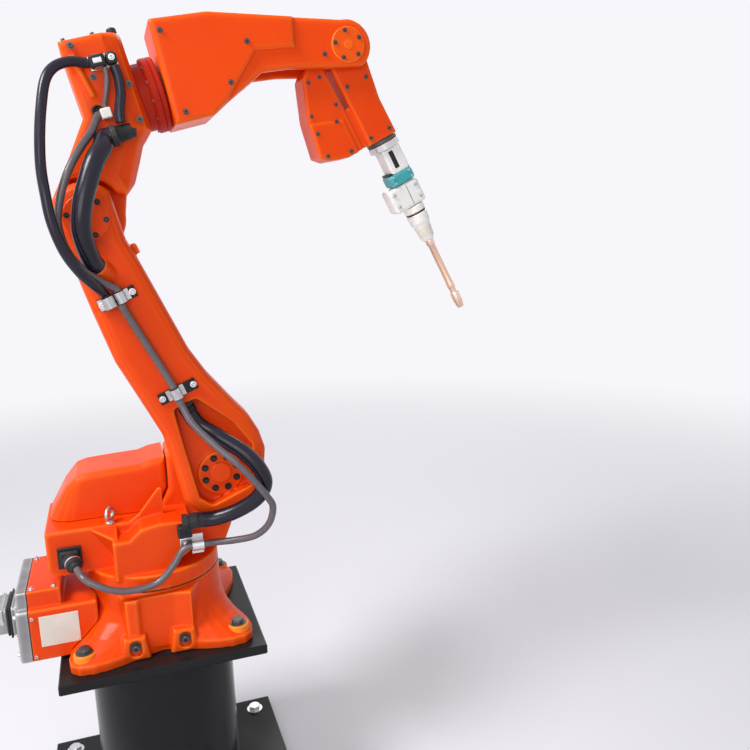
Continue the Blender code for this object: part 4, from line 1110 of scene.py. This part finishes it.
def dress_forearm():
    cast_skin("forearm_housing", "forearm")
    bm = bmesh.new()
    spots = (0.3886, 0.0464), (0.3359, -0.0180), (0.236, 0.098), (0.236, -0.050)
    for side in (-1, 1):
        side_screws(bm, spots, side * FOREARM_HALF, side, 0.0036)
        at = stand_on((FOREARM_LENGTH, side * CHEEK, 0), (0, side, 0))
        turned(bm, at, [(0.0340, -0.001), (0.0340, 0.0022), (0.0326, PIN_CAP)], 64, 1)
        centre = (FOREARM_LENGTH, side * (CHEEK + PIN_CAP), 0)
        circle_of_screws(bm, centre, (0, side, 0), 0.0270, 5, 0.0030, 0.3)
        turned(bm, stand_on(centre, (0, side, 0)), [(0.0085, -0.001), (0.0085, 0.0014)], 32, 1)
        side_screws(bm, [(0.536, -0.007)], side * CHEEK, side, 0.0032)
    outer = FOREARM_HALF + COVER_OUT
    block(bm, (0.246, FOREARM_HALF - COVER_SUNK, -0.020), (0.390, outer, 0.092), 0.0016, 2, 1)
    side_screws(bm, product((0.254, 0.382), (-0.012, 0.036, 0.084)), outer, 1, 0.0032)
    new_piece("forearm_covers", bm, "forearm", "orange_paint", *steel_on_orange, at=AT_FOREARM)


dress_forearm()


# Wrist: a slim casting on two pins in the fork, with the shell of its last motor beside it.
# Round caps lie over its pins, and small cap screws hold the body and the shell together.

AT_WRIST = tilted(AT_FOREARM @ Vector((FOREARM_LENGTH, 0, 0)), -63.5)
WRIST_HALF = 0.040
SHELL_HALF = 0.037
WRIST_LENGTH = 0.205
WRIST_CAP = 0.0026
WRIST_VOXEL = 0.0018
BODY_SCREWS = ((0.070, -0.030), (0.070, 0.016), (0.182, 0.014), (0.182, -0.032))
SHELL_SCREWS = ((0.028, -0.074), (0.028, -0.100), (0.090, -0.068), (0.088, -0.126))
END_SCREWS = ((0.120, -0.084), (0.124, -0.132), (0.172, -0.134), (0.186, -0.084))
END_OUT = 0.0005


def dress_wrist():
    cast_skin("wrist_housing", "wrist", 4, WRIST_VOXEL)
    bm = bmesh.new()
    for side in (-1, 1):
        way = (0, side, 0)
        at = stand_on((0, side * WRIST_HALF, 0), way)
        turned(bm, at, [(0.0300, -0.001), (0.0300, 0.0016), (0.0288, WRIST_CAP)], 56, 1)
        centre = (0, side * (WRIST_HALF + WRIST_CAP), 0)
        circle_of_screws(bm, centre, way, 0.0255, 6, 0.0022, washer=False)
        side_screws(bm, BODY_SCREWS, side * WRIST_HALF, side, 0.0030)
        side_screws(bm, SHELL_SCREWS, side * SHELL_HALF, side, 0.0028)
        side_screws(bm, END_SCREWS, side * (WRIST_HALF + END_OUT), side, 0.0030)
    new_piece("wrist_covers", bm, "wrist", "orange_paint", *steel_on_orange, at=AT_WRIST)


dress_wrist()


# Tool: a steel flange with its screws, a moulded collision sensor, white with a teal band,
# the white torch clamp, the torch's cream body, and its straight copper neck with a nozzle.

AT_TOOL = tilted(AT_WRIST @ Vector((WRIST_LENGTH, 0, 0)), -63.5)

teal_plastic = finish(
    "teal_plastic",
    (0.020, 0.33, 0.36),
    (0.016, 0.27, 0.30),
    (0.12, 0.50, 0.52),
    (0.28, 0.42),
    stain_scale=30.0,
    grain_scale=600.0,
    grain_depth=0.00003,
)
white_plastic = finish(
    "white_plastic",
    (0.84, 0.83, 0.80),
    (0.74, 0.72, 0.68),
    (0.92, 0.91, 0.90),
    (0.26, 0.40),
    stain_scale=26.0,
    grain_scale=600.0,
    grain_depth=0.00003,
)
tinted_copper = finish(
    "tinted_copper",
    (0.80, 0.56, 0.42),
    (0.72, 0.46, 0.35),
    (0.84, 0.62, 0.50),
    (0.32, 0.42),
    metallic=0.9,
    stain_scale=14.0,
    grain_scale=420.0,
    grain_depth=0.000002,
)


def tool_piece(name, node, slot, bm, *materials):
    made = new_piece(name, bm, "tool", slot, *materials, at=AT_TOOL)
    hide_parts(node)


def dress_tool():
    along = stand_on((0, 0, 0), (1, 0, 0))
    bm = bmesh.new()
    profile = [(0.0325, -0.0086), (0.0340, -0.0074), (0.0340, -0.0010), (0.0332, -0.0002)]
    turned(bm, along, profile, 64)
    tool_piece("flange", "tool_flange", "motor_black", bm, black_steel)
    bm = bmesh.new()
    plate = [(0.0342, SEAT), (0.0350, 0.0012), (0.0350, 0.0125), (0.0338, 0.0140)]
    turned(bm, along, plate, 64, 2)
    circle_of_screws(bm, (0.0140, 0, 0), (1, 0, 0), 0.0300, 6, 0.0022, 0.26, washer=False)
    block(bm, (0.0125, -0.0255, -0.0195), (0.0700, 0.0255, 0.0255), 0.0055, 4, 3)
    # The thin black block on the near side is painted shade, standing for the shade inside a slot.
    block(bm, (0.0200, -0.0262, -0.0075), (0.0600, -0.0200, 0.0045), 0.0020, 2, 4)
    block(bm, (0.0680, -0.0260, -0.0295), (0.0948, 0.0260, 0.0275), 0.0065, 4, 1)
    block(bm, (0.0640, -0.0235, -0.0270), (0.0700, 0.0235, 0.0255), 0.0020, 2, 4)
    for side in (-1, 1):
        corners = product((0.0750, 0.0880), (-0.0210, 0.0190))
        side_screws(bm, corners, side * 0.0260, side, 0.0022, washer=False)
    finishes = zinc, teal_plastic, bright_steel, white_plastic, black_moulding
    tool_piece("collision_sensor", "torch_mount", "teal_plastic", bm, *finishes)
    bm = bmesh.new()
    block(bm, (0.0955, -0.0238, -0.0475), (0.1495, 0.0238, 0.0295), 0.0070, 4, 1)
    block(bm, (0.1000, -0.0242, -0.0030), (0.1450, 0.0242, -0.0018), 0.0004, 1, 2)
    for side in (-1, 1):
        corners = product((0.1090, 0.1360), (-0.036, 0.019))
        side_screws(bm, corners, side * 0.0238, side, 0.0030)
    finishes = zinc, white_plastic, black_moulding
    tool_piece("torch_holder", "torch_clamp", "white_plastic", bm, *finishes)
    bm = bmesh.new()
    at = stand_on((0.150, 0, 0), (1, 0, 0))
    profile = [(0.0230, 0.0004), (0.0240, 0.0020), (0.0240, 0.0130), (0.0222, 0.0150)]
    profile += [(0.0222, 0.0190), (0.0240, 0.0210), (0.0232, 0.0390), (0.0198, 0.0470)]
    profile += [(0.0188, 0.0560), (0.0170, 0.0740), (0.0158, 0.0790), (0.0130, 0.0845)]
    turned(bm, at, profile, 48)
    band = [(0.0225, 0.0152), (0.0228, 0.0156), (0.0228, 0.0186), (0.0222, 0.0189)]
    turned(bm, at, band, 48, 1)
    tool_piece("torch_handle", "torch_body", "white_plastic", bm, cream_plastic, black_moulding)
    bm = bmesh.new()
    at = stand_on((0.2353, 0, 0), (1, 0, 0))
    profile = [(0.0095, 0), (0.0100, 0.002), (0.0100, 0.012), (0.0086, 0.014), (0.0080, 0.016)]
    profile += [(0.0080, 0.110), (0.0090, 0.112), (0.0090, 0.124), (0.0080, 0.126)]
    turned(bm, at, profile + [(0.0080, 0.1345)], 40)
    tool_piece("swan_neck", "torch_neck", "copper", bm, tinted_copper)
    bm = bmesh.new()
    at = stand_on((0.370, 0, 0), (1, 0, 0))
    profile = [(0.0088, SEAT), (0.0104, 0.0030), (0.0105, 0.0240), (0.0096, 0.0300)]
    profile += [(0.0078, 0.0400), (0.0072, 0.0410), (0.0060, 0.0400), (0.0058, 0.0330)]
    turned(bm, at, profile, 48)
    tip = [(0.0030, 0.0320), (0.0030, 0.0385), (0.0022, 0.0405), (0.0008, 0.0405)]
    turned(bm, at, tip, 24, 1)
    tool_piece("gas_nozzle", "torch_nozzle", "copper", bm, tinted_copper, brass)


dress_tool()


# Hoses: two thick glossy hoses carry wire and gas from the turret to the arm and on to the
# elbow, beside thin jacketed cables. Each runs from one gland, plug or clamp to the next.

THICK_HOSE = 0.012
HOSE_STEP = 0.004
FINE_STEPS = 24

hose_rubber = finish(
    "hose_rubber",
    (0.006, 0.005, 0.011),
    (0.010, 0.008, 0.018),
    (0.014, 0.011, 0.024),
    (0.20, 0.32),
    stain_scale=24.0,
    grain_scale=300.0,
    grain_depth=0.00003,
    specular=0.34,
)
cable_jacket = finish(
    "cable_jacket",
    (0.075, 0.060, 0.070),
    (0.105, 0.086, 0.096),
    (0.130, 0.108, 0.118),
    (0.22, 0.34),
    stain_scale=34.0,
    grain_scale=500.0,
    grain_depth=0.00002,
    specular=0.55,
)


def leaves(place, way, stub=0.005):
    """The first two points of a hose that leaves a face straight."""
    way = Vector(way).normalized()
    return [Vector(place) + way * SEAT, Vector(place) + way * (SEAT + stub)]


def meets(place, way, stub=0.005):
    """The last two points of a hose that meets a face, whose own direction this is."""
    return leaves(place, way, stub)[::-1]


def smooth_route(places, spacing):
    """Points about one spacing apart on a smooth curve through the route's points."""
    dense = []
    for i in range(1, len(places) - 2):
        a, b, c, d = places[i - 1 : i + 3]
        for k in range(FINE_STEPS):
            t = k / FINE_STEPS
            bend = (2 * a - 5 * b + 4 * c - d) * t**2 + (3 * b - a - 3 * c + d) * t**3
            dense.append(0.5 * (2 * b + (c - a) * t + bend))
    dense.append(places[-2])
    length = sum((q - p).length for p, q in zip(dense, dense[1:]))
    count = max(2, round(length / spacing))
    picked = [dense[0]]
    walked = 0.0
    for p, q in zip(dense, dense[1:]):
        walked += (q - p).length
        if walked >= len(picked) * length / count and len(picked) < count:
            picked.append(q)
    return [places[0]] + picked + places[-2:]


def tube(bm, path, radius, sides):
    """A round hose along a path, its rings turned as little as the bends allow."""
    rings = []
    spokes = [2 * pi * i / sides for i in range(sides)]
    turn = (path[1] - path[0]).to_track_quat("Z", "Y").to_matrix()
    for k, here in enumerate(path):
        ahead = (path[min(k + 1, len(path) - 1)] - path[max(k - 1, 0)]).normalized()
        turn = (turn @ Vector((0, 0, 1))).rotation_difference(ahead).to_matrix() @ turn
        rings.append([here + radius * (turn @ Vector((cos(a), sin(a), 0))) for a in spokes])
    loft(bm, rings)


def run_hose(name, node, radius, material, bodies, stretches):
    """A hose on its route. Its stretches are given in the frames of the bodies it follows."""
    places = [at @ Vector(point) for at, points in stretches for point in points]
    path = smooth_route(places, HOSE_STEP)
    bm = bmesh.new()
    tube(bm, path, radius, 28 if radius > THICK_HOSE else 18)
    slot_name = "black_rubber" if material is hose_rubber else "cable_grey"
    if len(bodies) == 1:
        obj = new_piece(name, bm, bodies[0], slot_name, material)
    else:
        obj = new_piece(name, bm, None, slot_name, material)
        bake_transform(obj)
    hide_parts(node)


def run_turret_hoses():
    way = (0.013, -0.034, -0.010)
    route = leaves(COLLAR_END, way) + [(-0.136, -0.133, 0.178), (-0.112, -0.143, 0.164)]
    route += [(-0.082, -0.147, 0.150), (-0.045, -0.147, 0.144), (0.000, -0.146, 0.152)]
    route += [(0.032, -0.141, 0.180), (0.050, -0.135, 0.203)]
    route += meets((0.072, -0.133, 0.212), (-1, 0, 0))
    run_hose("turret_lead", "turret_cable", 0.0070, cable_jacket, ["turret"], [(AT_BASE, route)])
    low = leaves((0.088, -0.138, 0.2665), (1, 0, 0))
    low += [(0.123, -0.141, 0.2665), (0.164, -0.154, 0.280), (0.203, -0.169, 0.306)]
    high = [(-0.0345, -0.178, -0.0665), (-0.0006, -0.180, -0.0700), (0.0403, -0.170, -0.0581)]
    high += [(0.085, -0.147, -0.030), (0.118, -0.119, -0.006)]
    high += meets((0.148, -0.107, 0), (-1, 0, 0))
    route = [(AT_BASE, low), (AT_ARM, high)]
    crossing = ["turret", "lower_arm"]
    run_hose("thick_hose_low", "lower_hose", 0.0155, hose_rubber, crossing, route)
    low = leaves((0.096, -0.133, 0.212), (1, 0, 0))
    low += [(0.125, -0.135, 0.212), (0.158, -0.149, 0.216)]
    low += [(0.196, -0.172, 0.229), (0.221, -0.188, 0.256)]
    high = [(-0.0795, -0.198, -0.0590), (-0.0513, -0.202, -0.0581), (-0.0041, -0.201, -0.0479)]
    high += [(0.0392, -0.193, -0.0340), (0.0824, -0.176, -0.0147), (0.1343, -0.152, 0.0035)]
    high += [(0.165, -0.139, 0.0060)]
    high += meets((0.187, -0.136, 0.0060), (-1, 0, 0))
    route = [(AT_BASE, low), (AT_ARM, high)]
    run_hose("cable_low", "lower_cable", 0.0070, cable_jacket, crossing, route)


def run_arm_hoses():
    route = leaves((0.211, -0.134, 0.004), (1, 0, 0))
    route += [(0.270, -0.130, 0.0080), (0.340, -0.130, 0.0140)]
    route += meets((0.397, -0.134, 0.0180), (-1, 0, 0))
    run_hose("cable_middle", "arm_cable", 0.0070, cable_jacket, ["lower_arm"], [(AT_ARM, route)])
    low = leaves((0.478, -0.135, 0.0240), (0.030, -0.032, 0.0105), 0.012)
    low += [(0.515, -0.159, 0.0240), (0.542, -0.170, 0.0180)]
    high = [(-0.0078, -0.175, 0.0005), (0.0063, -0.175, 0.0295), (0.0264, -0.169, 0.0600)]
    high += [(0.0452, -0.160, 0.0860), (0.0670, -0.143, 0.1070)]
    high += meets((0.088, -0.124, 0.1225), (-1, 0, 0), 0.012)
    route = [(AT_ARM, low), (AT_ELBOW, high)]
    crossing = ["lower_arm", "elbow"]
    run_hose("thick_hose_high", "upper_hose", 0.0176, hose_rubber, crossing, route)
    low = leaves((0.421, -0.137, 0.012), (1, 0, 0))
    low += [(0.4504, -0.146, 0.0300), (0.4848, -0.161, 0.0484), (0.5228, -0.170, 0.0551)]
    high = [(-0.0498, -0.172, -0.0094), (-0.0418, -0.172, 0.0174), (-0.0253, -0.170, 0.0486)]
    high += [(-0.0008, -0.166, 0.0826), (0.0290, -0.149, 0.1128), (0.0590, -0.127, 0.1390)]
    high += meets((0.084, -0.110, 0.164), (-1, 0, 0))
    route = [(AT_ARM, low), (AT_ELBOW, high)]
    run_hose("cable_high", "upper_cable", 0.0070, cable_jacket, crossing, route)


def run_elbow_hoses():
    high = leaves((0.094, -0.112, 0.252), (-1, 0, 0)) + [(0.0646, -0.124, 0.258)]
    high += [(0.036, -0.137, 0.2530), (0.0140, -0.150, 0.2333), (-0.0071, -0.162, 0.1916)]
    high += [(-0.026, -0.171, 0.1448), (-0.041, -0.180, 0.097)]
    low = [(0.6208, -0.194, 0.0414), (0.5758, -0.197, 0.0540), (0.5244, -0.193, 0.0590)]
    low += [(0.4809, -0.184, 0.0530), (0.4500, -0.166, 0.0430)]
    low += meets((0.421, -0.138, 0.0350), (1, 0, 0))
    route = [(AT_ELBOW, high), (AT_ARM, low)]
    run_hose("gas_hose", "loop_hose", 0.0090, hose_rubber, ["elbow", "lower_arm"], route)
    route = leaves((0.096, -0.110, 0.174), (0, 0, 1)) + [(0.1005, -0.112, 0.188)]
    route += [(0.108, -0.114, 0.203), (0.1145, -0.115, 0.219)]
    route += meets((0.117, -0.115, 0.238), (0, 0, -1))
    run_hose("plug_lead", "elbow_jumper", 0.0045, cable_jacket, ["elbow"], [(AT_ELBOW, route)])
    route = leaves((0.134, -0.112, 0.238), (0, 0, -1))
    route += [(0.1345, -0.114, 0.218), (0.129, -0.117, 0.190), (0.118, -0.120, 0.165)]
    route += meets((0.113, -0.121, 0.142), (0, 0, 1))
    run_hose("hose_tail", "elbow_hose_tail", 0.0090, hose_rubber, ["elbow"], [(AT_ELBOW, route)])


run_turret_hoses()
run_arm_hoses()
run_elbow_hoses()
